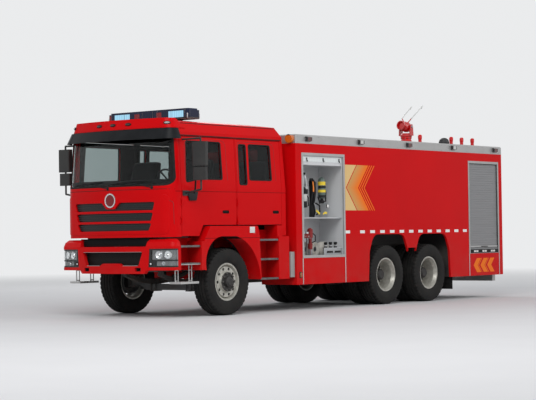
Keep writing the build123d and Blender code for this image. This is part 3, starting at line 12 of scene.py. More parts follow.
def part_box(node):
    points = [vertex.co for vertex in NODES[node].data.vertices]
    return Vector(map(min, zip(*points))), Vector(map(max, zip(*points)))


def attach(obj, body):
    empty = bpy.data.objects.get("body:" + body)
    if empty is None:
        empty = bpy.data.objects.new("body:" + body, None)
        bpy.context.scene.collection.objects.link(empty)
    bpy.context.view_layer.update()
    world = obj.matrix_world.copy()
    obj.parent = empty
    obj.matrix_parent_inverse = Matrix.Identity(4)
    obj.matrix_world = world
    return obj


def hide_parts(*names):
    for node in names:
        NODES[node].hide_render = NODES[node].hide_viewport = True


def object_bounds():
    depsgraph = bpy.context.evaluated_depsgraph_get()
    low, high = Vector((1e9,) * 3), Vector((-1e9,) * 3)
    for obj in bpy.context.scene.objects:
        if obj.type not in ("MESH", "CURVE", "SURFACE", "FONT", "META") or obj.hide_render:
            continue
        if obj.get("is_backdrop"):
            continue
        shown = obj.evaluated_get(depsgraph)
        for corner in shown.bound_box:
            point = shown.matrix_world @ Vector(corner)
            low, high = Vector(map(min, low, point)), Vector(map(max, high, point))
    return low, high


bl_info = {
    "name": "Fire rescue truck dressing",
    "version": (1, 0, 0),
    "blender": (4, 5, 0),
    "location": "3D View > Sidebar > Fire truck",
    "description": "Adds finishes, fittings and a stage to the fire rescue truck's frame",
    "category": "Object",
}

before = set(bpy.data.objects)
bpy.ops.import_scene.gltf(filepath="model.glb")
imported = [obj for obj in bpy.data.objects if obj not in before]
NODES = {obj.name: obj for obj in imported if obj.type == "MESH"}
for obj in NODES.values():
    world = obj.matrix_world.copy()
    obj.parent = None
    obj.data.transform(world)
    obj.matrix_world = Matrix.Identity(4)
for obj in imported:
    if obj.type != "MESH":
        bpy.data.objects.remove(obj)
CAD_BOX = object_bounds()
MM = 0.001
SIDES = (("left", 1), ("right", -1))


def axle_line():
    """The frame's Y at the front axle, from which the truck's stations are counted."""
    low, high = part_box("tyre_front_left")
    return (low.y + high.y) / 2


AXLE_Y = axle_line()

# Stations of the running gear, in millimetres
WHEEL_Z = 530.0
FRONT_WHEEL_X = 1015.0
TWIN_WHEEL_X = 890.0
TWIN_PITCH = 345.0
AXLES_Y = {"front": 0.0, "middle": 4375.0, "rear": 5775.0}

# Stations of the cab and body, in millimetres
CAB_SIDE_X = 1140.0
BELT_Z = 2030.0
EAVE_Z = 2880.0
EAVE_X = 1095.0
LIGHT_BAR_Y = -430.0
MONITOR_Y = 6870.0
MONITOR_PIVOT_Z = 3335.0
# centre x, z and radius of each headlamp bowl
LAMP_BOWLS = ((925.0, 980.0, 66.0), (1078.0, 980.0, 62.0), (1000.0, 848.0, 30.0))


SWATCH = {"subtype": "COLOR", "size": 3, "min": 0, "max": 1}


class TruckColours(bpy.types.PropertyGroup):
    """Colours that change the truck's livery."""

    paint: FloatVectorProperty(
        name="Paint", description="Body colour", default=(0.63, 0.002, 0.004), **SWATCH
    )
    amber: FloatVectorProperty(
        name="Amber", description="Orange marking film", default=(0.85, 0.19, 0.02), **SWATCH
    )
    sand: FloatVectorProperty(
        name="Sand", description="Pale marking film", default=(0.72, 0.50, 0.22), **SWATCH
    )
    reflector: FloatVectorProperty(
        name="Reflector", description="White marking film", default=(0.82, 0.82, 0.80), **SWATCH
    )
    beacon: FloatVectorProperty(
        name="Beacon", description="Warning light lens", default=(0.01, 0.09, 0.75), **SWATCH
    )


class TruckSizes(bpy.types.PropertyGroup):
    """Sizes of the fittings."""

    seal_width: FloatProperty(
        name="Seal width",
        description="Width of the rubber round each window",
        unit="LENGTH",
        min=0.005,
        max=0.05,
        default=0.024,
    )
    tread_depth: FloatProperty(
        name="Tread depth",
        description="Depth of the tyres' grooves",
        unit="LENGTH",
        min=0.002,
        max=0.02,
        default=0.013,
    )
    tread_pitches: IntProperty(
        name="Tread pitches", description="Lugs round each tyre", min=24, max=72, default=44
    )
    wheel_nuts: IntProperty(name="Wheel nuts", description="Nuts on each wheel", min=6, max=12, default=10)


# Shader nodes


def joined(operation, swapped=False):
    """A method that joins a signal and another value in a Math node."""

    def method(signal, other):
        values = (other, signal) if swapped else (signal, other)
        return signal.math(operation, *values)

    return method


class Signal:
    """A node's output, on which Python's operators build Math nodes."""

    __add__, __radd__ = joined("ADD"), joined("ADD", True)
    __sub__, __rsub__ = joined("SUBTRACT"), joined("SUBTRACT", True)
    __mul__, __rmul__ = joined("MULTIPLY"), joined("MULTIPLY", True)
    __truediv__, __mod__, __pow__ = joined("DIVIDE"), joined("FLOORED_MODULO"), joined("POWER")
    __gt__, __lt__, __or__ = joined("GREATER_THAN"), joined("LESS_THAN"), joined("MAXIMUM")

    def __init__(self, tree, link):
        self.tree, self.link = tree, link

    def __abs__(self):
        return self.math("ABSOLUTE", self)

    def math(self, operation, *values):
        """A Math node of this operation on the values."""
        return self.tree.add("Math", {"operation": operation}, dict(enumerate(values)))

    def within(self, *bounds):
        """One between the two values of any pair and nought outside them."""
        spans = [(self > low) * (self < high) for low, high in zip(bounds[::2], bounds[1::2])]
        whole = spans.pop(0)
        for span in spans:
            whole = whole | span
        return whole

    def ribs(self, pitch):
        """Waves of this many to the metre, from nought to a half."""
        return abs((self * pitch) % 1 - 0.5)

    def ramp(self, low, high):
        """Rises from nought at one value to one at another, and stays there."""
        inputs = {"Value": self, "From Min": low, "From Max": high}
        return self.tree.add("MapRange", {"clamp": True}, inputs, "Result")


class Tree:
    """A node tree in the making."""

    def __init__(self, tree):
        self.nodes, self.links = tree.nodes, tree.links

    def add(self, kind, settings=None, inputs=None, output=0):
        """Any node: its settings first, then the values or links of its sockets."""
        node = self.nodes.new("ShaderNode" + kind)
        for name, value in (settings or {}).items():
            setattr(node, name, value)
        for name, value in (inputs or {}).items():
            target = node.inputs[name]
            if isinstance(value, Signal):
                self.links.new(value.link, target)
            elif target.type == "RGBA" and len(value) == 3:
                target.default_value = (*value, 1.0)
            else:
                target.default_value = value
        return Signal(self, node.outputs[output])

    def seen(self):
        """One on rays that come straight from the camera, off a gloss or through glass."""
        kinds = ("Camera", "Glossy", "Transmission")
        camera, glossy, clear = (self.add("LightPath", output=f"Is {kind} Ray") for kind in kinds)
        return camera | glossy | clear


DUST = (0.16, 0.13, 0.10)
DARK_PLASTIC = (0.014, 0.014, 0.015)


class Finish(Tree):
    """A material in the making: its nodes and its Principled shader."""

    def __init__(self, name, colour, roughness, **sockets):
        self.material = bpy.data.materials.new(name)
        self.material.use_nodes = True
        super().__init__(self.material.node_tree)
        self.shader = self.nodes["Principled BSDF"]
        self.set("Base Color", colour)
        self.set("Roughness", roughness)
        for socket, value in sockets.items():
            self.set(socket.replace("_", " ").title().replace("Ior", "IOR"), value)

    def set(self, socket, value):
        """Puts a value or a signal on one of the shader's sockets."""
        target = self.shader.inputs[socket]
        if isinstance(value, Signal):
            self.links.new(value.link, target)
        elif target.type == "RGBA":
            target.default_value = (*value, 1.0)
        else:
            target.default_value = value

    def stations(self):
        """X, Y from the front axle and Z, in metres."""
        place = self.add("TexCoord", output="Object")
        x, y, z = (self.add("SeparateXYZ", inputs={0: place}, output=i) for i in range(3))
        return x, y - AXLE_Y, z

    def noise(self, scale, detail, stretch=(1, 1, 1)):
        """Soft noise from nought to one, finer with scale and drawn out by stretch."""
        place = self.add("TexCoord", output="Object")
        if stretch != (1, 1, 1):
            place = self.add("VectorMath", {"operation": "MULTIPLY"}, {0: place, 1: stretch})
        return self.add("TexNoise", inputs={"Vector": place, "Scale": scale, "Detail": detail}, output="Fac")

    def cells(self, scale):
        """A close pattern of small cells."""
        return self.add("TexVoronoi", inputs={"Scale": scale}, output="Distance")

    def mix(self, factor, low, high):
        """Two colours mixed."""
        return self.add("Mix", {"data_type": "RGBA"}, {0: factor, 6: low, 7: high}, 2)

    def bump(self, height, distance):
        """Relief of a height, in metres at its strongest."""
        self.set("Normal", self.add("Bump", inputs={"Height": height, "Distance": distance}, output="Normal"))

    def dust(self, amount, top):
        """A film of road dust that thins out with height."""
        _, _, z = self.stations()
        return (1 - z.ramp(0.1, top)) * self.noise(3.0, 5.0).ramp(0.3, 0.75) * amount

    def dirty(self, colour, amount, top, roughness):
        """Road dust over a colour and its roughness."""
        film = self.dust(amount, top)
        self.set("Base Color", self.mix(film, colour, DUST))
        self.set("Roughness", roughness + film * 0.5)


def livery(name):
    """One of the truck's colours."""
    return tuple(getattr(bpy.context.scene.truck_colours, name))


def shaded(colour, share):
    """A colour made darker."""
    return tuple(part * share for part in colour)


def start_paint(name):
    """A painted finish in the truck's red, its shade and its film of dust."""
    colour = livery("paint")
    paint = Finish(name, colour, 0.34, specular_ior_level=0.06, coat_weight=0.02, coat_roughness=0.05)
    shade = paint.mix(paint.noise(1.1, 2.0), shaded(colour, 0.86), colour)
    film = paint.dust(0.25, 1.3)
    return paint, paint.mix(film, shade, DUST), film


def finish_paint(paint, shade, film, mask=None):
    """Sets a painted finish, dark plastic where the mask stands."""
    rough = 0.30 + film * 0.5 + paint.noise(40, 3.0) * 0.06
    if mask is not None:
        shade = paint.mix(mask, shade, DARK_PLASTIC)
        rough = rough + mask * 0.25
        paint.set("Coat Weight", 0.02 - mask * 0.02)
    paint.set("Base Color", shade)
    paint.set("Roughness", rough)
    paint.bump(paint.noise(420, 2.0), 0.00012)
    return paint.material


@cache
def red_paint():
    """Coated red paint with a trace of orange peel and road dust low down."""
    return finish_paint(*start_paint("red_paint"))


def belt_crease_shade(paint, shade):
    """A shade with the pressed line below the windows drawn in it, as a dark line of painted shade."""
    x, _, z = paint.stations()
    # the dark red line along the crease is painted shade
    return paint.mix(z.within(1.951, 1.958) * (abs(x) > 1.12), shade, (0.09, 0.001, 0.001))


def inside_cab(x, y, z):
    """One on the cab's inner faces and nought on its outer ones."""
    up = (z - BELT_Z * MM) | 0.0
    behind = y < 1.488 - up * 0.0435 - (z > 2.879) * 0.08
    return (y > -1.05) * behind * (abs(x) < 1.093 - up * 0.053) * (z < 3.02)


@cache
def bumper_paint():
    """Red paint, with the ribbed insert between the shoulders in black."""
    paint, shade, film = start_paint("bumper_paint")
    x, y, z = paint.stations()
    insert = (abs(x) < 0.6999) * (z > 1.1102)
    sockets = (abs(abs(x) - 0.548) < 0.0551) * z.within(0.728, 0.784) * (y > -1.462)
    return finish_paint(paint, shade, film, insert | sockets)


@cache
def door_paint():
    """Red paint with a crease at the belt in painted shade, the handles' pockets and paddles in black, dark
    inside.
    """
    paint, shade, film = start_paint("door_paint")
    x, y, z = paint.stations()
    near = (abs(y + 0.014) < 0.0802) | (abs(y - 1.27) < 0.0802)
    pocket = near * z.within(1.6118, 1.6622) * abs(x).within(1.10, 1.1395)
    return finish_paint(paint, belt_crease_shade(paint, shade), film, pocket | inside_cab(x, y, z))


@cache
def cab_paint():
    """Red paint outside, charcoal lining inside the cab, and the crease at the belt in painted shade."""
    paint, shade, film = start_paint("cab_paint")
    return finish_paint(paint, belt_crease_shade(paint, shade), film, inside_cab(*paint.stations()))


@cache
def wing_paint():
    """Red paint outside, and black painted shade in the front of the arches and on the wing's inner faces."""
    paint, shade, film = start_paint("wing_paint")
    x, y, z = paint.stations()
    # black inside the front of the arches and on the inner faces stands for shade: painted shade
    arch_shade = (abs(x) < 1.2135) * y.within(-0.576, 0.28) * (z < 1.2515)
    split = z.within(1.2195, 1.2265) * (abs(x) > 1.21) * (y < 0.75)
    shade = paint.mix(split, shade, (0.06, 0.001, 0.001))
    return finish_paint(paint, shade, film, arch_shade | (abs(x) < 0.899))


@cache
def roof_finish():
    """The roof: patterned plate, red posts and riser, and a black vent."""
    paint = Finish("roof_finish", (0.3, 0.3, 0.3), 0.45)
    x, y, z = paint.stations()
    deck = z < 2.8285
    vent = (abs(x - 1.0) < 0.105) * (abs(y - 6.66) < 0.105) * (1 - deck)
    plate = paint.mix(paint.noise(5.0, 4.0), (0.26, 0.26, 0.27), (0.38, 0.38, 0.39))
    paint.set("Base Color", paint.mix(deck, paint.mix(vent, livery("paint"), DARK_PLASTIC), plate))
    paint.set("Metallic", deck * 0.6)
    paint.set("Roughness", 0.32 + deck * 0.15 + vent * 0.2)
    lines = (x + y).ribs(40) * (x - y).ribs(40)
    paint.bump(lines * deck + paint.noise(300, 2.0) * 0.1, 0.0012)
    return paint.material


@cache
def monitor_paint():
    """Red paint on the pot, with pale hand bars, and the bore's open end darkened with painted shade."""
    colour = livery("paint")
    gloss = {"specular_ior_level": 0.45, "coat_weight": 0.8, "coat_roughness": 0.05}
    paint = Finish("monitor_paint", colour, 0.3, **gloss)
    x, y, z = paint.stations()
    bars = (abs(x) > 0.1065) * ((z - 0.2 * y) > 2.006)
    along, up = y - MONITOR_Y * MM, z - MONITOR_PIVOT_Z * MM
    bore = (x * x + (up - 0.026) * (up - 0.026)) < 0.0043
    # inside the bore's open end the colour is darkened: painted shade
    mouth_shade = ((along * along + up * up) > 0.0342) * bore * (along < 0)
    red = paint.mix(paint.noise(6, 3.0), shaded(colour, 0.8), colour)
    shade = paint.mix(bars, red, (0.62, 0.62, 0.60))
    paint.set("Base Color", paint.mix(mouth_shade, shade, (0.02, 0.02, 0.02)))
    paint.set("Roughness", 0.28 + paint.noise(60, 3.0) * 0.1 + mouth_shade * 0.3)
    paint.bump(paint.noise(200, 2.0), 0.0004)
    return paint.material


def chevron(y, z, middle, rise=0.8):
    """A station that leans back above and below a middle height."""
    return y - abs(z - middle) * rise


@cache
def marked_paint():
    """The body side's red paint with its chevrons and the row of white dashes."""
    paint, shade, film = start_paint("body_side_paint")
    x, y, z = paint.stations()
    outer = abs(x) > 1.2485
    front = chevron(y, z, 2.065)
    block = outer * z.within(1.67, 2.46) * (y > 3.075)
    sand = block * (front < 3.095)
    orange = block * front.within(3.118, 3.460, 3.492, 3.516, 3.560, 3.584, 3.630, 3.654)
    low = chevron(y, z, 0.63, 0.9)
    bars = low.within(7.25, 7.40, 7.42, 7.44, 7.50, 7.65, 7.67, 7.69, 7.75, 7.90)
    rear = outer * z.within(0.495, 0.765) * bars
    row = y.within(3.07, 3.20) | (y.within(3.45, 7.02) * (((y - 3.195) % 0.3075) < 0.143))
    dash = outer * z.within(1.272, 1.322) * row
    amber = paint.mix(front.ramp(3.118, 3.42) | (z < 1.0), (0.58, 0.34, 0.12), livery("amber"))
    shade = paint.mix(orange | rear, shade, amber)
    shade = paint.mix(sand, shade, livery("sand"))
    paint.set("Base Color", paint.mix(dash, shade, livery("reflector")))
    marks = orange | sand | dash | rear
    cells = paint.noise(900, 1.0)
    paint.set("Roughness", 0.30 + film * 0.5 + marks * (0.1 + cells * 0.12))
    paint.bump(marks * 0.4 + cells * marks * 0.5 + paint.noise(420, 2.0) * 0.3, 0.0003)
    return paint.material


@cache
def black_plastic():
    """Grained black plastic, greyer where dust and sun have worked on it."""
    trim = Finish("black_plastic", (0.010, 0.010, 0.011), 0.55, specular_ior_level=0.25)
    worn = trim.noise(6.0, 4.0).ramp(0.4, 0.8)
    shade = trim.mix(worn * 0.4, (0.007, 0.007, 0.008), (0.025, 0.025, 0.026))
    trim.dirty(shade, 0.25, 1.2, 0.5 + worn * 0.2)
    trim.bump(trim.cells(700.0), 0.0003)
    return trim.material


@cache
def visor_plastic():
    """The sun shade's smoked plastic, polished."""
    shade = Finish("visor_plastic", (0.02, 0.022, 0.024), 0.3, specular_ior_level=0.12)
    film = shade.noise(4.0, 4.0).ramp(0.3, 0.8)
    shade.set("Base Color", shade.mix(film, (0.004, 0.005, 0.006), (0.012, 0.013, 0.015)))
    shade.set("Roughness", 0.26 + film * 0.12)
    shade.bump(shade.noise(260, 2.0), 0.0001)
    return shade.material


@cache
def mirror_plastic():
    """The mirror heads' satin shells."""
    shell = Finish("mirror_plastic", (0.03, 0.03, 0.03), 0.5, specular_ior_level=0.4)
    film = shell.noise(5.0, 4.0).ramp(0.3, 0.8)
    shell.set("Base Color", shell.mix(film, (0.016, 0.016, 0.016), (0.032, 0.032, 0.030)))
    shell.set("Roughness", 0.45 + film * 0.15)
    shell.bump(shell.cells(600.0), 0.0002)
    return shell.material


def lens_ribs(across, up):
    """Fine upright and level ribs moulded in a lens."""
    return up.ribs(90) + across.ribs(60) * 0.6


@cache
def body_lamp_finish():
    """Lamps of the body: black wedges with red and clear lenses, amber flashers and round tail lamps."""
    gloss = {"specular_ior_level": 0.5, "coat_weight": 0.5, "coat_roughness": 0.05}
    cover = Finish("body_lamp_finish", (0.1, 0.1, 0.1), 0.2, **gloss)
    x, y, z = cover.stations()
    wide = abs(x)
    ribs = lens_ribs(y, z)
    step = (y - 1.26) / 1.515
    window = (wide > 1.2475) * (abs(z - 2.862) < 0.030) * (step.ribs(1) < 0.030)
    lenses = cover.mix((step % 2) < 1, (0.62, 0.62, 0.60), (0.10, 0.008, 0.008))
    wedge = cover.mix(window, DARK_PLASTIC, lenses)
    flasher = cover.mix(z > 2.915, (0.72, 0.16, 0.012), DARK_PLASTIC)
    tail = cover.mix(wide > 1.075, (0.65, 0.15, 0.012), (0.35, 0.008, 0.010))
    shade = cover.mix(y > 8.34, cover.mix(y < 1.68, wedge, flasher), tail)
    cover.set("Base Color", cover.mix(ribs * 0.4, shade, (0.03, 0.01, 0.01)))
    cover.set("Roughness", 0.16 + cover.noise(40, 3.0) * 0.1)
    cover.bump(ribs, 0.0009)
    return cover.material


@cache
def rubber():
    """Soft black rubber with a chalky film."""
    skin = Finish("seal_rubber", (0.01, 0.01, 0.01), 0.75, specular_ior_level=0.25)
    film = skin.noise(25, 4.0).ramp(0.35, 0.8)
    skin.set("Base Color", skin.mix(film * 0.5, (0.006, 0.006, 0.006), (0.028, 0.028, 0.027)))
    skin.bump(skin.noise(300, 3.0), 0.0004)
    return skin.material


@cache
def tyre_rubber():
    """Tyre rubber, paled in patches by road dust."""
    skin = Finish("tyre_rubber", (0.02, 0.02, 0.02), 0.8, specular_ior_level=0.2)
    dust = skin.noise(9, 6.0).ramp(0.35, 0.75)
    skin.set("Base Color", skin.mix(dust * 0.5, (0.008, 0.008, 0.008), (0.04, 0.037, 0.033)))
    skin.set("Roughness", 0.65 + dust * 0.25)
    skin.bump(skin.noise(160, 4.0) + skin.noise(900, 2.0) * 0.4, 0.0008)
    return skin.material


@cache
def aluminium(lined=False):
    """Drawn aluminium with fine lines along it, with a paler painted lining in the locker if wanted."""
    metal = Finish("locker_finish" if lined else "aluminium", (0.45, 0.45, 0.45), 0.36, metallic=0.6)
    lines = metal.noise(260, 3.0, (1, 0.04, 1))
    shade = metal.mix(metal.noise(2.5, 3.0), (0.36, 0.355, 0.35), (0.47, 0.465, 0.46))
    rough = 0.3 + lines * 0.2
    if lined:
        x, _, _ = metal.stations()
        inside = abs(x) < 1.2335
        shade = metal.mix(inside, shade, (0.60, 0.61, 0.62))
        rough = rough + inside * 0.15
        metal.set("Metallic", 0.6 - inside * 0.55)
    metal.set("Base Color", shade)
    metal.set("Roughness", rough)
    metal.bump(lines, 0.0002)
    return metal.material


@cache
def tread_plate():
    """Bright plate with raised lozenges set crosswise, worn shiny on top."""
    metal = Finish("tread_plate", (0.5, 0.5, 0.5), 0.4, metallic=0.85)
    x, y, z = metal.stations()
    u, v = (x + y) * 26, (x - y) * 26
    odd = ((u.math("FLOOR", u) + v.math("FLOOR", v)) % 2) > 0.5
    across, along = u.ribs(1), v.ribs(1)
    first = (across < 0.42) * (along < 0.12)
    second = (across < 0.12) * (along < 0.42)
    raised = odd * first + (1 - odd) * second
    grime = metal.noise(14, 5.0).ramp(0.3, 0.8)
    hanging = (z < 0.83) * (y < -0.70)
    plate = metal.mix(grime * (1 - raised * 0.7), (0.20, 0.20, 0.20), (0.05, 0.05, 0.048))
    metal.set("Base Color", metal.mix(hanging, plate, (0.50, 0.50, 0.49)))
    metal.set("Roughness", 0.5 - raised * 0.2 + grime * 0.15)
    metal.bump(raised, 0.0012)
    return metal.material


@cache
def shutter_finish():
    """Satin anodised slats."""
    metal = Finish("shutter_slats", (0.25, 0.25, 0.26), 0.42, metallic=0.4)
    streak = metal.noise(9, 4.0, (1, 0.15, 3)).ramp(0.3, 0.8)
    metal.set("Base Color", metal.mix(streak, (0.23, 0.23, 0.235), (0.27, 0.27, 0.275)))
    metal.set("Roughness", 0.36 + streak * 0.14)
    metal.bump(metal.noise(500, 2.0, (1, 0.1, 1)), 0.00015)
    return metal.material


@cache
def frame_black():
    """Chassis paint under a coat of road dirt."""
    paint = Finish("chassis_paint", (0.03, 0.03, 0.032), 0.6)
    paint.dirty((0.022, 0.022, 0.024), 0.85, 1.5, 0.5 + paint.noise(60, 4.0) * 0.2)
    paint.bump(paint.noise(90, 5.0), 0.001)
    return paint.material


@cache
def cast_grey():
    """Rough cast iron and painted alloy."""
    metal = Finish("cast_grey", (0.12, 0.125, 0.13), 0.6, metallic=0.3)
    metal.dirty(metal.mix(metal.noise(8, 4.0), (0.07, 0.075, 0.08), (0.16, 0.165, 0.17)), 0.6, 1.6, 0.55)
    metal.bump(metal.noise(140, 4.0), 0.0012)
    return metal.material


@cache
def tinted_glass(name, colour):
    """Safety glass of a tint, with a faint film."""
    glass = Finish(name, colour, 0.02, transmission_weight=1.0, ior=1.22)
    film = glass.noise(5.0, 4.0).ramp(0.5, 0.9)
    glass.set("Roughness", 0.015 + film * 0.03)
    return glass.material


@cache
def lens(name, colour):
    """Ribbed coloured plastic over a lamp."""
    gloss = {"ior": 1.49, "coat_weight": 0.6, "coat_roughness": 0.05}
    cover = Finish(name, colour, 0.12, transmission_weight=0.35, **gloss)
    x, _, z = cover.stations()
    ribs = lens_ribs(x, z)
    cover.set("Base Color", cover.mix(ribs, shaded(colour, 0.55), colour))
    cover.bump(ribs, 0.0009)
    return cover.material


@cache
def beacon_lens():
    """The light bar's blue housing, bright where its two lit modules stand."""
    blue = livery("beacon")
    bar = Finish("beacon_lens", blue, 0.18, specular_ior_level=0.35)
    x, y, z = bar.stations()
    front = y < LIGHT_BAR_Y * MM + 0.02
    glow = z.within(3.142, 3.245) * x.within(0.448, 0.764, -0.721, -0.388) * front
    ribs = x.ribs(26) * 2
    red = (x.within(0.192, 0.299, -0.286, -0.177) | (x < -0.80)) * z.within(3.150, 3.235) * front
    skin = bar.mix(ribs * 0.5, shaded(blue, 0.03), shaded(blue, 0.10))
    skin = bar.mix(red, skin, (0.22, 0.01, 0.015))
    base = z < 3.140
    bar.set("Base Color", bar.mix(base, skin, (0.03, 0.03, 0.03)))
    bar.set("Emission Color", bar.mix(glow * (1 - ribs * 0.35), (0, 0, 0), (0.42, 0.78, 1.0)))
    bar.set("Emission Strength", 1.0)
    bar.bump(ribs * (1 - base), 0.002)
    return bar.material


@cache
def lamp_cover():
    """Clear lamp plastic with faint moulded flutes."""
    clear = {"transmission_weight": 1.0, "ior": 1.2, "specular_ior_level": 0.3}
    cover = Finish("lamp_cover", (0.96, 0.97, 0.97), 0.02, **clear)
    x, _, _ = cover.stations()
    cover.set("Roughness", 0.01 + cover.noise(30, 3.0) * 0.02)
    cover.bump(x.ribs(45), 0.0004)
    return cover.material


@cache
def lamp_mirror():
    """Vapour-coated reflector."""
    bowl = Finish("lamp_mirror", (0.85, 0.86, 0.87), 0.12, metallic=1.0)
    bowl.set("Roughness", 0.08 + bowl.noise(60, 3.0) * 0.12)
    bowl.bump(bowl.noise(80, 2.0), 0.0006)
    return bowl.material


@cache
def lamp_housing():
    """Headlamp blocks: black bezels with bright bowls inside their windows."""
    housing = Finish("headlamp_housing", (0.02, 0.02, 0.02), 0.35)
    x, _, z = housing.stations()
    wide = abs(x)
    bowls = []
    for lamp_x, lamp_z, radius in LAMP_BOWLS:
        off, up = wide - lamp_x * MM, z - lamp_z * MM
        bowls.append((off * off + up * up) < (radius * MM) ** 2)
    window = bowls[0] | bowls[1] | bowls[2]
    pane = wide.within(0.801, 1.229) * z.within(0.906, 1.054)
    pane = pane | wide.within(0.881, 1.229) * z.within(0.813, 0.884)
    dull = housing.mix(pane, (0.012, 0.012, 0.013), (0.26, 0.265, 0.27))
    housing.set("Base Color", housing.mix(window, dull, (0.85, 0.86, 0.87)))
    housing.set("Metallic", window * 0.35 + pane * 0.5)
    housing.set("Roughness", 0.38 - window * 0.22 + housing.noise(30, 3.0) * 0.08)
    housing.bump(housing.noise(500, 2.0), 0.0002)
    return housing.material


@cache
def grille_finish():
    """Satin black slats and a bright bare badge ring."""
    trim = Finish("grille_finish", (0.02, 0.02, 0.02), 0.4)
    x, y, z = trim.stations()
    reach = x * x + (z - 1.83) * (z - 1.83)
    disc = (reach < 0.0130) * (y < -1.4572)
    ring = disc * (reach > 0.00835)
    face = trim.mix(disc, (0.012, 0.012, 0.013), (0.16, 0.004, 0.006))
    trim.set("Base Color", trim.mix(ring, face, (0.62, 0.63, 0.64)))
    trim.set("Metallic", ring * 0.95)
    trim.set("Roughness", 0.42 - ring * 0.2 + trim.noise(50, 3.0) * 0.1)
    trim.bump(trim.noise(450, 2.0), 0.0002)
    return trim.material


@cache
def rim_paint(axle):
    """Silver wheel paint, darker about the hub, with dust between."""
    paint = Finish("wheel_paint_" + axle, (0.55, 0.56, 0.58), 0.38, metallic=0.35)
    _, y, z = paint.stations()
    along, up = y - AXLES_Y[axle] * MM, z - WHEEL_Z * MM
    reach = (along * along + up * up) ** 0.5
    hub = 1 - reach.ramp(0.148, 0.162)
    grime = paint.noise(18, 5.0).ramp(0.35, 0.8)
    silver = paint.mix(grime * 0.55, (0.50, 0.49, 0.44), (0.18, 0.165, 0.14))
    paint.set("Base Color", paint.mix(hub, silver, (0.035, 0.033, 0.032)))
    paint.set("Roughness", 0.34 + grime * 0.2 + hub * 0.15)
    paint.bump(paint.noise(220, 3.0), 0.0003)
    return paint.material


@cache
def cabin_finish():
    """Charcoal dashboard plastic and the woven seats behind it."""
    cloth = Finish("cabin_finish", (0.05, 0.05, 0.055), 0.8)
    _, y, _ = cloth.stations()
    seats = y > -0.60
    cloth.set("Base Color", cloth.mix(seats, (0.035, 0.035, 0.04), (0.07, 0.075, 0.085)))
    cloth.set("Roughness", 0.6 + seats * 0.3)
    cloth.bump(cloth.noise(350, 3.0), 0.0006)
    return cloth.material


def threads(x, y, z, pitch):
    """Crossed threads of this many to the metre."""
    return x.ribs(pitch) + (y + z).ribs(pitch)


@cache
def seat_cloth():
    """Ribbed charcoal cloth with a fleck in its weave."""
    cloth = Finish("seat_cloth", (0.05, 0.05, 0.055), 0.9, specular_ior_level=0.2, sheen_weight=0.3)
    x, y, z = cloth.stations()
    ribs = x.ribs(60)
    fleck = cloth.noise(220, 2.0).ramp(0.55, 0.8)
    cloth.set("Base Color", cloth.mix(fleck * 0.4 + ribs * 0.2, (0.018, 0.019, 0.022), (0.08, 0.085, 0.10)))
    cloth.bump(ribs * 0.5 + threads(x, y, z, 500) * 0.3, 0.0012)
    return cloth.material


@cache
def strip_light():
    """A lit diffuser strip with faint cells."""
    strip = Finish("strip_light", (0.45, 0.47, 0.47), 0.4)
    _, y, _ = strip.stations()
    cells = y.ribs(22)
    strip.set("Emission Color", strip.mix(cells, (0.20, 0.22, 0.22), (0.34, 0.36, 0.36)))
    strip.set("Emission Strength", 1.0)
    strip.bump(cells, 0.0006)
    return strip.material


@cache
def canvas():
    """Flat-woven hose jacket."""
    weave = Finish("hose_canvas", (0.62, 0.60, 0.54), 0.85)
    weave.set("Base Color", weave.mix(weave.noise(12, 4.0), (0.46, 0.44, 0.39), (0.70, 0.68, 0.62)))
    weave.bump(threads(*weave.stations(), 420), 0.0006)
    return weave.material


@cache
def plain(name, colour, roughness, metallic=0.0):
    """A finish of one colour, mottled a little, with a fine grain."""
    skin = Finish(name, colour, roughness, metallic=metallic)
    pale = tuple(min(1.0, part * 1.25 + 0.01) for part in colour)
    skin.set("Base Color", skin.mix(skin.noise(7, 4.0).ramp(0.3, 0.8), colour, pale))
    skin.set("Roughness", roughness + skin.noise(35, 3.0) * 0.12 - 0.06)
    skin.bump(skin.noise(250.0, 3.0), 0.0004)
    return skin.material


# Mesh forms

CORNER_STEPS = 5
LONGEST_RUN = 60.0


def at(x, y, z):
    """A point of the truck's stations, in millimetres, as a point of the frame."""
    return Vector((x * MM, y * MM + AXLE_Y, z * MM))


def spread(low, high, count):
    """Evenly spaced values from one to another, with both ends."""
    return [low + (high - low) * step / count for step in range(count + 1)]


def circle(sides, start=0.0):
    """Cosine and sine of evenly spaced angles round a circle."""
    angles = [2 * pi * (step + start) / sides for step in range(sides)]
    return [(cos(angle), sin(angle)) for angle in angles]


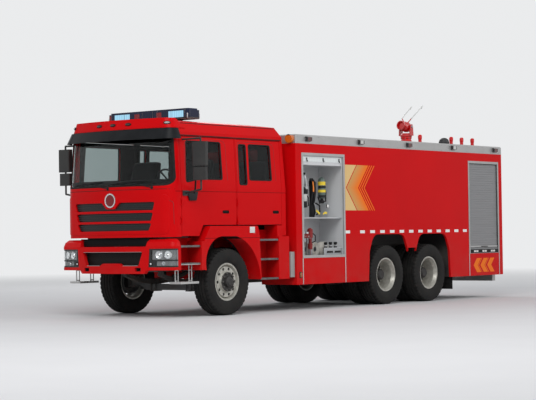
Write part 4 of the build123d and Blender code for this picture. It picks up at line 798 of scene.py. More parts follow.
class Shape:
    """A mesh that grows form by form, in millimetres from the front axle's line."""

    def __init__(self, turn=1):
        self.mesh = bmesh.new()
        self.turn = turn
        self.tone = 0

    def both_sides(self):
        """Draws what follows on the left and then on the right."""
        for turn in (1, -1):
            self.turn = turn
            yield turn
        self.turn = 1

    def skin(self, points, faces):
        """Adds points and the faces between them in the present tone."""
        made = [self.mesh.verts.new(at(self.turn * x, y, z)) for x, y, z in points]
        for face in faces:
            self.mesh.faces.new([made[i] for i in face]).material_index = self.tone
        return made

    def rings(self, rings, loop=False):
        """Joins rings of equally many points, closed end to end or capped."""
        count = len(rings[0])
        faces = []
        for step in range(len(rings) if loop else len(rings) - 1):
            a, b = step * count, (step + 1) % len(rings) * count
            faces += [(a + j, a + (j + 1) % count, b + (j + 1) % count, b + j) for j in range(count)]
        if not loop:
            last = (len(rings) - 1) * count
            faces += [tuple(reversed(range(count))), tuple(range(last, last + count))]
        return self.skin([point for ring in rings for point in ring], faces)

    def prism(self, outline, axis, span, bevel):
        """An outline in the two other axes, drawn out between two values of one, its edges eased."""
        order = {"x": (2, 0, 1), "y": (0, 2, 1), "z": (0, 1, 2)}[axis]
        rings = [[tuple((a, b, value)[i] for i in order) for a, b in outline] for value in span]
        made = self.rings(rings)
        edges = list({edge for vert in made for edge in vert.link_edges})
        rule = {"segments": 2, "profile": 0.6, "affect": "EDGES", "clamp_overlap": True}
        bmesh.ops.bevel(self.mesh, geom=edges, offset=bevel * MM, **rule)

    def block(self, x, y, z, bevel):
        """A block between two values of each axis."""
        self.prism([(x[0], z[0]), (x[1], z[0]), (x[1], z[1]), (x[0], z[1])], "y", y, bevel)

    def tube(self, path, radius, sides):
        """A round bar along a path."""
        points = [Vector(point) for point in path]
        last = len(points) - 1
        side = None
        rings = []
        for i, point in enumerate(points):
            along = (points[min(i + 1, last)] - points[max(i - 1, 0)]).normalized()
            side = along.orthogonal() if side is None else side - along * side.dot(along)
            side.normalize()
            up = along.cross(side)
            rings.append([point + radius * (c * side + s * up) for c, s in circle(sides)])
        return self.rings(rings)

    def lathe(self, profile, centre, axis, sides, loop=False):
        """A form of (along, radius) points turned about an axis through a centre."""
        axis, centre = Vector(axis).normalized(), Vector(centre)
        side = axis.orthogonal().normalized()
        up = axis.cross(side)
        turns = circle(sides)
        rings = [[centre + axis * a + r * (c * side + s * up) for c, s in turns] for a, r in profile]
        return self.rings(rings, loop)

    def ribbon(self, path, width, thickness, across):
        """A flat strap along a path, its width along one direction."""
        points, across = [Vector(point) for point in path], Vector(across).normalized()
        last = len(points) - 1
        rings = []
        for i, point in enumerate(points):
            along = (points[min(i + 1, last)] - points[max(i - 1, 0)]).normalized()
            up = along.cross(across).normalized() * thickness / 2
            side = across * width / 2
            rings.append([point + side + up, point - side + up, point - side - up, point + side - up])
        return self.rings(rings)

    def disc(self, centre, axis, radius, height, sides):
        """A low round boss with an eased rim that stands out along an axis."""
        ease = min(height, radius) * 0.3
        profile = [(0, radius), (height - ease, radius), (height, radius - ease), (height, radius * 0.05)]
        return self.lathe(profile, centre, axis, sides)

    def fit(self, node):
        """Moves and scales the mesh into the box of the node that it stands for."""
        low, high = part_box(node)
        for axis in range(3):
            places = [vertex.co[axis] for vertex in self.mesh.verts]
            first, last = min(places), max(places)
            scale = (high[axis] - low[axis]) / (last - first)
            for vertex in self.mesh.verts:
                vertex.co[axis] = low[axis] + (vertex.co[axis] - first) * scale

    def place(self, name, body, finishes, slot, angle=35, stands_for=()):
        """Makes the mesh a piece that rides on a body."""
        bmesh.ops.recalc_face_normals(self.mesh, faces=self.mesh.faces)
        data = bpy.data.meshes.new(name)
        self.mesh.to_mesh(data)
        self.mesh.free()
        for material in finishes:
            data.materials.append(material)
        data.polygons.foreach_set("use_smooth", [True] * len(data.polygons))
        data.set_sharp_from_angle(angle=radians(angle))
        piece = bpy.data.objects.new(name, data)
        bpy.context.scene.collection.objects.link(piece)
        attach(piece, body)
        if stands_for:
            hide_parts(*stands_for)
        return piece


def rounded(points, radius):
    """A closed outline with its corners rounded off."""
    made = []
    for i, corner in enumerate(points):
        corner = Vector(corner)
        before, after = Vector(points[i - 1]) - corner, Vector(points[(i + 1) % len(points)]) - corner
        half = before.angle(after) / 2
        reach = min(radius / max(0.05, sin(half)) * cos(half), before.length * 0.49, after.length * 0.49)
        start, end = corner + before.normalized() * reach, corner + after.normalized() * reach
        for t in spread(0, 1, CORNER_STEPS):
            made.append(start * (1 - t) ** 2 + corner * 2 * t * (1 - t) + end * t**2)
    return made


def grown(outline, amount):
    """An outline moved outwards by an amount, corner by corner."""
    count = len(outline)
    area = sum(outline[i - 1].x * outline[i].y - outline[i].x * outline[i - 1].y for i in range(count))
    turn = 1 if area > 0 else -1
    made = []
    for i, point in enumerate(outline):
        along = (outline[(i + 1) % count] - outline[i - 1]).normalized()
        made.append(point + Vector((along.y, -along.x)) * amount * turn)
    return made


def side_x(z):
    """The cab side's X at a height."""
    return CAB_SIDE_X - max(0.0, z - BELT_Z) * (CAB_SIDE_X - EAVE_X) / (EAVE_Z - BELT_Z)


# height, front, corner x, corner y, side and back of the plans of the cab, its brow and the bumper
CAB_PLANS = (
    (2030.0, -1450.0, 930.0, -1345.0, 1140.0, -1085.0),
    (2880.0, -1335.0, 900.0, -1235.0, 1095.0, -1085.0),
)
BROW_PLANS = (
    (2935.0, -1362.0, 920.0, -1257.0, 1085.0, -1085.0),
    (3090.0, -1335.0, 880.0, -1235.0, 1020.0, -1085.0),
)
BUMPER_PLANS = (
    (690.0, -1470.0, 1090.0, -1355.0, 1215.0, -1230.0),
    (1110.0, -1470.0, 1090.0, -1355.0, 1215.0, -1230.0),
)


def front_y(x, z, plans=CAB_PLANS, inset=0.0):
    """The Y of a bowed front at a place across and a height, round its corners too."""
    low_z, high_z = plans[0][0], plans[1][0]
    up = min(1.0, max(0.0, (z - low_z) / (high_z - low_z)))
    spans = zip(plans[0][1:], plans[1][1:])
    front, corner_x, corner_y, side, back = (low + (high - low) * up for low, high in spans)
    front, corner_y, side = front + inset, corner_y + inset, side - inset
    x = min(abs(x), side)
    if x <= corner_x:
        rise = corner_y - front
        radius = (corner_x**2 + rise**2) / (2 * rise)
        return front + radius - sqrt(radius**2 - x**2)
    across, along = side - corner_x, back - corner_y
    radius = (across**2 + along**2) / (2 * across)
    return back - sqrt(max(0.0, radius**2 - (x - side + radius) ** 2))


def front_turn(x, z, plans=CAB_PLANS):
    """The direction straight out of a bowed front at a place."""
    slope = (front_y(x + 1, z, plans) - front_y(x - 1, z, plans)) / 2
    return Vector((slope, -1, 0)).normalized()


def dress(material, *nodes):
    """Gives CAD nodes a finish."""
    for node in nodes:
        slots = NODES[node].material_slots
        if not slots:
            NODES[node].data.materials.append(material)
        for slot in slots:
            slot.material = material


def both(*nodes):
    """Names of the left and right nodes of each kind."""
    return [f"{node}_{side}" for node in nodes for side, _ in SIDES]


class Fitting:
    """What every operator of the truck shares."""

    bl_options = {"REGISTER", "UNDO"}

    def execute(self, context):
        """Builds the pieces."""
        self.make(context.scene.truck_colours, context.scene.truck_sizes)
        return {"FINISHED"}


class TRUCK_OT_finishes(Fitting, bpy.types.Operator):
    """Finishes of the pieces that come with the frame"""

    bl_idname = "truck.finishes"
    bl_label = "Finishes"

    def make(self, colours, sizes):
        dress(cab_paint(), "cab_end_panels", "cab_sides", "cab_roof")
        dress(red_paint(), "body_end_walls")
        dress(bumper_paint(), "front_bumper")
        dress(wing_paint(), "cab_wings")
        dress(door_paint(), *both("door_front", "door_rear"))
        dress(monitor_paint(), "monitor_swivel", "monitor_barrel")
        dress(roof_finish(), "roof_deck")
        dress(marked_paint(), "body_sides")
        dress(frame_black(), "frame_rails", "cross_members", "leaf_springs", "cab_mounts", "body_floor")
        dress(plain("box_grey", (0.30, 0.30, 0.29), 0.5, 0.2), "battery_box")
        dress(cast_grey(), "engine", "prop_shafts", "axles", "tie_rod", *both("knuckle"), "cab_floor")
        dress(aluminium(), "roof_rail", "rear_fittings")
        dress(aluminium(lined=True), "locker_frames")
        dress(tread_plate(), "step_treads")
        dress(shutter_finish(), "roller_shutters")
        dress(tinted_glass("screen_glass", (0.72, 0.78, 0.77)), "cab_glass")
        dress(tinted_glass("window_glass", (0.36, 0.41, 0.41)), *both("glass_front", "glass_rear"))
        dress(visor_plastic(), "sun_visor")
        dress(mirror_plastic(), *both("mirror"))
        dress(grille_finish(), "grille")
        dress(lamp_housing(), "headlamps")
        dress(beacon_lens(), "light_bar")
        dress(body_lamp_finish(), "body_lamps")
        dress(cabin_finish(), "cab_interior")
        dress(rubber(), "mud_flaps")
        dress(canvas(), "hose_rolls")
        dress(plain("gear_grey", (0.10, 0.10, 0.11), 0.4, 0.4), "rescue_gear")
        for axle in AXLES_Y:
            dress(rim_paint(axle), *both("rim_" + axle))


# half section of a tyre from its bead to the shoulder, as (x, radius)
TYRE_FLANK = (
    (108, 287), (113, 297), (119, 300), (128, 306), (140, 320), (149, 344), (155, 380), (157.5, 405),
    (156.5, 430), (153, 452), (153.5, 458), (150.5, 464), (148, 482), (145, 497),
)
# half crown from the shoulder inwards: x, radius, and what it is: 1 a lug, 0 a rib, -1 a groove's floor
TYRE_CROWN = (
    (143, 510, 1), (138, 520, 1), (127, 525.5, 1), (98, 527.5, 1), (95, 527.5, -1), (82, 528, -1),
    (79, 528, 0), (38, 529.4, 0), (35, 529.4, -1), (22, 529.6, -1), (19, 530, 0),
)
# share of a tread pitch, and whether the lug stands there
LUG_STEPS = ((0.0, True), (0.60, True), (0.66, False), (0.94, False))


def tyre_section(standing, depth, cut):
    """A whole closed section of a tyre, with its lugs standing or cut away."""
    half = list(TYRE_FLANK)
    for x, r, kind in TYRE_CROWN:
        drop = depth if kind < 0 else cut if kind > 0 and not standing else 0.0
        sway = 0.0 if kind > 0 or x == 19 else (3.5 if standing else -3.5)
        half.append((x + sway, r - drop))
    return half + [(-x, r) for x, r in reversed(half)]


def tyre(shape, x, y, depth, cut, pitches):
    """A tyre about its axle line."""
    rings = []
    for pitch in range(pitches):
        for share, standing in LUG_STEPS:
            turn = 2 * pi * (pitch + share) / pitches
            section = tyre_section(standing, depth, cut)
            rings.append([(x + a, y + r * cos(turn), WHEEL_Z + r * sin(turn)) for a, r in section])
    shape.rings(rings, loop=True)


class TRUCK_OT_tyres(Fitting, bpy.types.Operator):
    """Tyres with grooves, shoulder lugs and ribbed flanks"""

    bl_idname = "truck.tyres"
    bl_label = "Tyres"

    def make(self, colours, sizes):
        depth = sizes.tread_depth / MM
        for side, turn in SIDES:
            for axle, y in AXLES_Y.items():
                shape = Shape(turn)
                places = (FRONT_WHEEL_X,)
                cut = depth * 0.9
                if axle != "front":
                    places = (TWIN_WHEEL_X - TWIN_PITCH / 2, TWIN_WHEEL_X + TWIN_PITCH / 2)
                    cut = depth
                for x in places:
                    tyre(shape, x, y, depth, cut, sizes.tread_pitches)
                node, body = f"tyre_{axle}_{side}", f"wheel_{axle}_{side}"
                shape.place(f"treaded_{node}", body, [tyre_rubber()], "tyre_rubber", 32, [node])


NUT_CIRCLE = 138.0


class TRUCK_OT_wheel_nuts(Fitting, bpy.types.Operator):
    """Nuts on studs round every hub"""

    bl_idname = "truck.wheel_nuts"
    bl_label = "Wheel nuts"

    def make(self, colours, sizes):
        steel = plain("nut_steel", (0.10, 0.095, 0.09), 0.45, 0.8)
        for side, turn in SIDES:
            for axle, y in AXLES_Y.items():
                shape = Shape(turn)
                face = FRONT_WHEEL_X + 132 if axle == "front" else TWIN_WHEEL_X + 1
                for c, s in circle(sizes.wheel_nuts):
                    centre = (face - 2, y + NUT_CIRCLE * c, WHEEL_Z + NUT_CIRCLE * s)
                    shape.lathe([(0, 20), (5, 20), (6, 17)], centre, (1, 0, 0), 20)
                    shape.lathe([(5, 17.5), (21, 17.5), (24, 15)], centre, (1, 0, 0), 6)
                    shape.lathe([(23, 10.5), (33, 10.5), (35, 9)], centre, (1, 0, 0), 14)
                shape.place(f"wheel_nuts_{axle}_{side}", f"wheel_{axle}_{side}", [steel], "wheel_steel")


# door: its window outlines, as (y, z) corners
DOOR_WINDOWS = {
    "front": [[(-950, 2095), (-640, 2150), (-80, 2150), (-95, 2735), (-920, 2735)]],
    "rear": [
        [(346, 2076), (540, 2076), (540, 2720), (356, 2720)],
        [(608, 2155), (1180, 2155), (1163, 2725), (612, 2725)],
    ],
}
WINDOW_CORNER = 38.0
SCREEN_CORNER = 110.0
WINDSCREEN = [(-1112, 2052), (1112, 2052), (1062, 2850), (-1062, 2850)]
REAR_WINDOW = [(-620, 2180), (620, 2180), (620, 2700), (-620, 2700)]
SCREEN_BACK = -1106.0
# Y of the cab's back wall at the belt and at the eaves
BACK_WALL_Y = (1537.0, 1500.0)
SEAL_DRAWN_WIDTH = 24.0
# growth from the opening's edge and depth under the skin of each edge of a window seal
SEAL_SECTION = ((-12, 17.5), (-12, 6), (-9, -1), (-2, -4), (7, -4), (11, -1), (11, 1))
# growth and depth of each edge of the black band printed inside the windscreen
BAND_SECTION = ((4, 26), (4, 28), (-52, 28), (-52, 26))


def finely(line):
    """A closed outline with its long runs divided."""
    made = []
    for start, end in zip(line, line[1:] + line[:1]):
        count = max(1, int((end - start).length // LONGEST_RUN))
        made += [start.lerp(end, part / count) for part in range(count)]
    return made


def swept(line, section, seat, wide=1.0):
    """Rings of a section that follows an outline, each point seated at a depth."""
    return [[seat(point, depth) for point in grown(line, growth * wide)] for growth, depth in section]


def on_door(point, depth):
    """A point of a door window's outline at a depth under the cab's side."""
    return side_x(point.y) - depth, point.x, point.y


def on_screen(point, depth):
    """A point of the windscreen's outline at a depth behind the bowed front."""
    return point.x, min(SCREEN_BACK, front_y(point.x, point.y) + depth), point.y


def on_back_wall(point, depth):
    """A point of the rear window's outline at a depth before the cab's back wall."""
    slope = (BACK_WALL_Y[0] - BACK_WALL_Y[1]) / (EAVE_Z - BELT_Z)
    return point.x, BACK_WALL_Y[0] - max(0.0, point.y - BELT_Z) * slope - depth, point.y


class TRUCK_OT_window_seals(Fitting, bpy.types.Operator):
    """Rubber seals that hold the cab's windows"""

    bl_idname = "truck.window_seals"
    bl_label = "Window seals"

    def make(self, colours, sizes):
        wide = sizes.seal_width / MM / SEAL_DRAWN_WIDTH
        for side, turn in SIDES:
            for door, windows in DOOR_WINDOWS.items():
                shape = Shape(turn)
                for corners in windows:
                    line = rounded(corners, WINDOW_CORNER)
                    shape.rings(swept(line, SEAL_SECTION, on_door, wide), loop=True)
                name, body = f"window_seals_{door}_{side}", f"door_{door}_{side}"
                shape.place(name, body, [rubber()], "black_trim", 60)
        screen = finely(rounded(WINDSCREEN, SCREEN_CORNER))
        shape = Shape()
        shape.rings(swept(screen, SEAL_SECTION, on_screen, wide * 1.2), loop=True)
        line = rounded(REAR_WINDOW, WINDOW_CORNER)
        shape.rings(swept(line, SEAL_SECTION, on_back_wall, wide), loop=True)
        shape.place("cab_window_seals", "cab", [rubber()], "black_trim", 60)
        shape = Shape()
        shape.rings(swept(screen, BAND_SECTION, on_screen), loop=True)
        strip = ((2075, 26), (2142, 26), (2142, 28.5), (2075, 28.5))
        places = spread(-1076, 1076, 30)
        shape.rings([[on_screen(Vector((x, z)), depth) for z, depth in strip] for x in places])
        shape.place("windscreen_band", "cab", [rubber()], "black_trim", 60)


WIPER_FOOT_Z = 2018.0


def wiper(shape, foot_x, tip_x, tip_z):
    """A wiper arm from its spindle on the cowl to the blade it carries."""
    out = front_turn(foot_x, WIPER_FOOT_Z)
    seat = Vector((foot_x, front_y(foot_x, WIPER_FOOT_Z) + 3, WIPER_FOOT_Z))
    shape.lathe([(0, 26), (11, 24), (15, 14), (19, 13), (21, 6)], seat, out, 20)
    foot = seat + out * 12
    tip = Vector((tip_x, front_y(tip_x, tip_z) - 17, tip_z))
    shape.tube([foot, foot.lerp(tip, 0.5) + Vector((0, -2, 0)), tip], 8, 10)
    line = zip(spread(tip_x - 350, tip_x + 350, 10), spread(tip_z - 14, tip_z + 16, 10))
    blade = [(x, front_y(x, z) - 8, z) for x, z in line]
    shape.tube(blade, 7, 8)
    shape.tube([(x, y - 10, z + 3) for x, y, z in blade[2:9]], 6, 8)


class TRUCK_OT_wipers(Fitting, bpy.types.Operator):
    """Two wipers parked along the foot of the windscreen"""

    bl_idname = "truck.wipers"
    bl_label = "Wipers"

    def make(self, colours, sizes):
        shape = Shape()
        wiper(shape, 800, 330, 2106)
        wiper(shape, -60, -560, 2106)
        shape.place("wipers", "cab", [black_plastic()], "black_trim")


# pressed line round the window of each door, as (y, z) points
DOOR_CREASES = {
    "front": (
        (-968, 2140), (-966, 2640), (-935, 2725), (-860, 2764),
        (-75, 2764), (-5, 2742), (24, 2690), (48, 2140),
    ),
    "rear": (
        (303, 2140), (316, 2690), (345, 2742), (410, 2764),
        (1150, 2764), (1225, 2742), (1262, 2690), (1292, 2155),
    ),
}
# pressed panel on each front corner, as (x, z) points
CORNER_CREASE = (
    (888, 1366), (942, 1770), (965, 1805), (1000, 1812),
    (1060, 1812), (1095, 1795), (1104, 1760), (1108, 1385),
)
# X of each marker lamp on the brow, of which the outer two are clear
MARKER_LAMPS_X = (-985.0, -330.0, -25.0, 292.0, 985.0)
MARKER_Z = 3012.0
COWL_SEAM_Z = 1990.0
DRIP_RAIL_Z = 2822.0


class TRUCK_OT_cab_trim(Fitting, bpy.types.Operator):
    """Marker lamps, seams, drip rails and mirror glass of the cab"""

    bl_idname = "truck.cab_trim"
    bl_label = "Cab trim"

    def make(self, colours, sizes):
        self.marker_lamps()
        self.seams()
        self.creases()
        self.mirrors()
        self.light_bar_ends()

    def marker_lamps(self):
        """Oval lamps with dark bezels on the brow."""
        shape = Shape()
        up = Vector((0, 0, 1))
        for x in MARKER_LAMPS_X:
            out = front_turn(x, MARKER_Z, BROW_PLANS)
            seat = Vector((x, front_y(x, MARKER_Z, BROW_PLANS) + 6, MARKER_Z))
            glass = 2 if abs(x) == max(MARKER_LAMPS_X) else 1
            for wide, high, near, far, tone in ((58, 24, 0, 20, 0), (44, 15, 18, 26, glass)):
                shape.tone = tone
                oval = [up.cross(out) * c * wide + up * s * high for c, s in circle(24)]
                steps = ((near, 1.0), (far - 4, 1.0), (far, 0.85))
                rings = [[seat + out * depth + point * share for point in oval] for depth, share in steps]
                shape.rings(rings)
        dark, clear = lens("marker_dark", (0.05, 0.02, 0.012)), lens("marker_clear", (0.8, 0.8, 0.78))
        shape.place("marker_lamps", "cab", [black_plastic(), dark, clear], "lamp_glass")

    def seams(self):
        """The dark joint under the cowl and the drip rail over each side's doors."""
        shape = Shape()
        for _ in shape.both_sides():
            joint = [(x, front_y(x, COWL_SEAM_Z) - 0.2, COWL_SEAM_Z) for x in spread(1118, 0, 24)]
            shape.ribbon(joint, 7, 2.4, (0, 0, 1))
            shape.tube([(side_x(DRIP_RAIL_Z) + 6, y, DRIP_RAIL_Z) for y in spread(-1060, 1460, 24)], 8, 8)
        shape.place("cab_seams", "cab", [rubber()], "black_trim")

    def creases(self):
        """The pressed lines of the doors and of the cab's front corners, as tubes in a dark red that is
        painted shade.
        """
        # the dark red of the crease tubes is painted shade in the pressed lines
        crease = plain("crease_red", (0.16, 0.001, 0.001), 0.4)
        for side, turn in SIDES:
            for door, line in DOOR_CREASES.items():
                shape = Shape(turn)
                shape.tube([(side_x(z) - 1.5, y, z) for y, z in line], 4, 8)
                shape.place(f"door_crease_{door}_{side}", f"door_{door}_{side}", [crease], "red_paint")
        shape = Shape()
        for _ in shape.both_sides():
            line = []
            for (x, z), (next_x, next_z) in zip(CORNER_CREASE, CORNER_CREASE[1:]):
                line += zip(spread(x, next_x, 6)[:-1], spread(z, next_z, 6)[:-1])
            shape.tube([(x, front_y(x, z) + 0.5, z) for x, z in line], 4, 8)
        shape.place("corner_creases", "cab", [crease], "red_paint")

    def mirrors(self):
        """Glass in the back of each mirror head, and the foot plate with its stem."""
        for side, turn in SIDES:
            door = f"door_front_{side}"
            shape = Shape(turn)
            shape.block((1358, 1552), (-927, -922.5), (2352, 2688), 6)
            low = [(1356, -930.5), (1566, -952.5), (1566.5, -948.5), (1356.5, -926.5)]
            shape.prism(low, "z", (2130, 2300), 1)
            shape.place(f"mirror_glass_{side}", door, [lamp_mirror()], "window_glass")
            shape = Shape(turn)
            shape.prism([(-945, 1946), (-905, 1810), (-740, 1812), (-700, 1948)], "x", (1141, 1164), 8)
            shape.tube([(1158, -790, 1925), (1200, -815, 1990), (1335, -958, 2128)], 14, 12)
            shape.place(f"mirror_foot_{side}", door, [black_plastic()], "black_trim")

    def light_bar_ends(self):
        """Brackets, seams and a plinth on the light bar."""
        shape = Shape()
        for _ in shape.both_sides():
            shape.tone = 0
            shape.block((838, 852), (-579, -281), (3126, 3200), 2)
            shape.tone = 1
            for x in (108, 206, 505, 790):
                shape.block((x, x + 5), (-577, -283), (3128, 3262), 1)
        shape.block((-850, 850), (-572, -288), (3112, 3134), 4)
        shape.place("light_bar_brackets", "cab", [aluminium(), black_plastic()], "bright_aluminium")


# left, right, bottom and top of each window of the headlamps
LAMP_WINDOWS = ((800.0, 1230.0, 905.0, 1055.0), (880.0, 1230.0, 812.0, 885.0))
LAMP_COVER_END_X = 1207.0
FOG_LAMP = (790.0, 842.0)
# profiles of a bulb shield and a bowl's rim, as (along, share of the bowl's radius) points
BULB_SHIELD = ((0, 0.4), (8, 0.42), (22, 0.3), (30, 0.06))
BOWL_RIM = ((0, 1.0), (10, 1.02), (14, 0.97), (10, 0.93), (0, 0.95))
BUMPER_MID_Z = 900.0
OPENING_HALF_WIDTH = 640.0
SCREEN_DEPTH = 105.0
SLOT_BACK_DEPTH = 114.0


def bumper_y(x, inset=0.0):
    """The Y of the bumper's face at a place across."""
    return front_y(x, BUMPER_MID_Z, BUMPER_PLANS, inset)


def bent_sheet(shape, places, bottom, top, depth, thickness, inset=0.0):
    """A sheet that follows the bumper's face at a depth behind it."""
    rings = []
    for x in places:
        near = bumper_y(x, inset) + depth
        far = near + thickness
        rings.append([(x, near, bottom), (x, near, top), (x, far, top), (x, far, bottom)])
    shape.rings(rings)


class TRUCK_OT_bumper_trim(Fitting, bpy.types.Operator):
    """The bumper's mesh, lamp covers and fog lamps"""

    bl_idname = "truck.bumper_trim"
    bl_label = "Bumper trim"

    def make(self, colours, sizes):
        self.opening()
        self.lamp_covers()
        self.lamp_parts()

    def opening(self):
        """A slatted screen behind the middle opening, bright beads round it, and a black sheet of painted
        shade at the back of the slot.
        """
        half = OPENING_HALF_WIDTH
        shape = Shape()
        bent_sheet(shape, spread(-half, half, 24), 800, 1040, SCREEN_DEPTH, 8)
        for z in range(822, 1035, 18):
            slat = [(x, bumper_y(x) + SCREEN_DEPTH - 12, z) for x in spread(-half, half, 16)]
            shape.ribbon(slat, 8, 22, (0, 0, 1))
        shape.place("bumper_screen", "chassis", [black_plastic()], "black_trim")
        shape = Shape()
        for low, high, z in ((-622, 622, 1026), (-545, -250, 815), (250, 545, 815)):
            shape.tube([(x, bumper_y(x) + 5, z) for x in spread(low, high, 12)], 4, 8)
        shape.place("bumper_beads", "chassis", [aluminium()], "bright_aluminium")
        # a black sheet that stands for the shade in the slot between bumper top and cab: painted shade
        shape = Shape()
        bent_sheet(shape, spread(-half, half, 16), 1190, 1252, SLOT_BACK_DEPTH, 5)
        shape.place("slot_backing", "chassis", [rubber()], "black_trim")

    def lamp_covers(self):
        """Clear covers over both windows of each headlamp."""
        for side, turn in SIDES:
            shape = Shape(turn)
            for left, right, bottom, top in LAMP_WINDOWS:
                places = [x for x in spread(left, right, 16) if x < LAMP_COVER_END_X]
                bent_sheet(shape, places, bottom + 1, top - 1, 0, 3, 6.5)
            shape.place(f"headlamp_cover_{side}", "chassis", [lamp_cover()], "lamp_glass", 50)

    def lamp_parts(self):
        """Bulb shields in the bowls and a small fog lamp beside them."""
        finishes = [lamp_mirror(), plain("lamp_bezel", (0.30, 0.31, 0.32), 0.3, 0.7), black_plastic()]
        for side, turn in SIDES:
            shape = Shape(turn)
            for x, z, radius in LAMP_BOWLS:
                out = front_turn(x, BUMPER_MID_Z, BUMPER_PLANS)
                seat = Vector((x, bumper_y(x), z)) - out * 44
                shape.tone = 0
                shape.lathe([(along, share * radius) for along, share in BULB_SHIELD], seat, out, 24)
                shape.tone = 1
                rim = [(along, share * radius) for along, share in BOWL_RIM]
                shape.lathe(rim, seat + out * 12, out, 32, loop=True)
            x, z = FOG_LAMP
            out = front_turn(x, BUMPER_MID_Z, BUMPER_PLANS)
            seat = Vector((x, bumper_y(x) + 6, z))
            shape.tone = 2
            shape.lathe([(0, 36), (6, 36), (9, 30), (5, 28), (2, 10)], seat, out, 28)
            shape.tone = 0
            shape.lathe([(3, 16), (7, 15), (11, 8), (12, 1)], seat, out, 20)
            shape.place(f"headlamp_parts_{side}", "chassis", finishes, "lamp_glass")


# flat hose's section, as (across, out) points
HOSE_SECTION = (
    (-43, -2.4), (43, -2.4), (45, -1.2), (45, 1.2), (43, 2.4), (-43, 2.4), (-45, 1.2), (-45, -1.2),
)
HOSE_TURNS = 13
HOSE_REACH = (43.0, 127.0)
HOSE_X = 1005.0
LOCKER_FLOOR_Z = 881.3
SHELF_Z = 1546.3
COUPLING_RACK_Z = 1206.0
# profiles of the gear, as (along, radius) points
CYLINDER = ((380, 14), (386, 34), (404, 58), (426, 70), (736, 70), (772, 60), (800, 34), (812, 8))
SPREADER_GRIP = ((328, 40), (336, 44), (352, 44), (354, 38), (366, 38), (368, 44), (464, 46), (472, 42))
COUPLING = (
    (0, 40), (10, 44), (16, 40), (48, 38), (54, 44), (66, 44), (70, 34), (70, 26), (10, 24), (0, 26),
)
COUPLING_COLLAR = ((70, 30), (96, 30), (100, 27), (100, 20), (70, 20))
VALVE = ((0, 30), (20, 30), (30, 20), (50, 18), (60, 30), (92, 32), (98, 24))
BRANCH = (
    (0, 26), (10, 40), (90, 42), (104, 28), (180, 30), (196, 46), (330, 50), (344, 38), (360, 20),
)
# half outline of the breathing set's back plate from its foot, as (across, up) points
BACK_PLATE = ((70, 20), (66, 260), (46, 360), (60, 560), (66, 720), (40, 790))
# outline of one spreader arm, as (across, up) points
SPREADER_ARM = (
    (-62, 560), (-24, 560), (-18, 660), (-6, 800), (-3, 846), (-16, 856), (-36, 820), (-66, 730), (-82, 630),
)


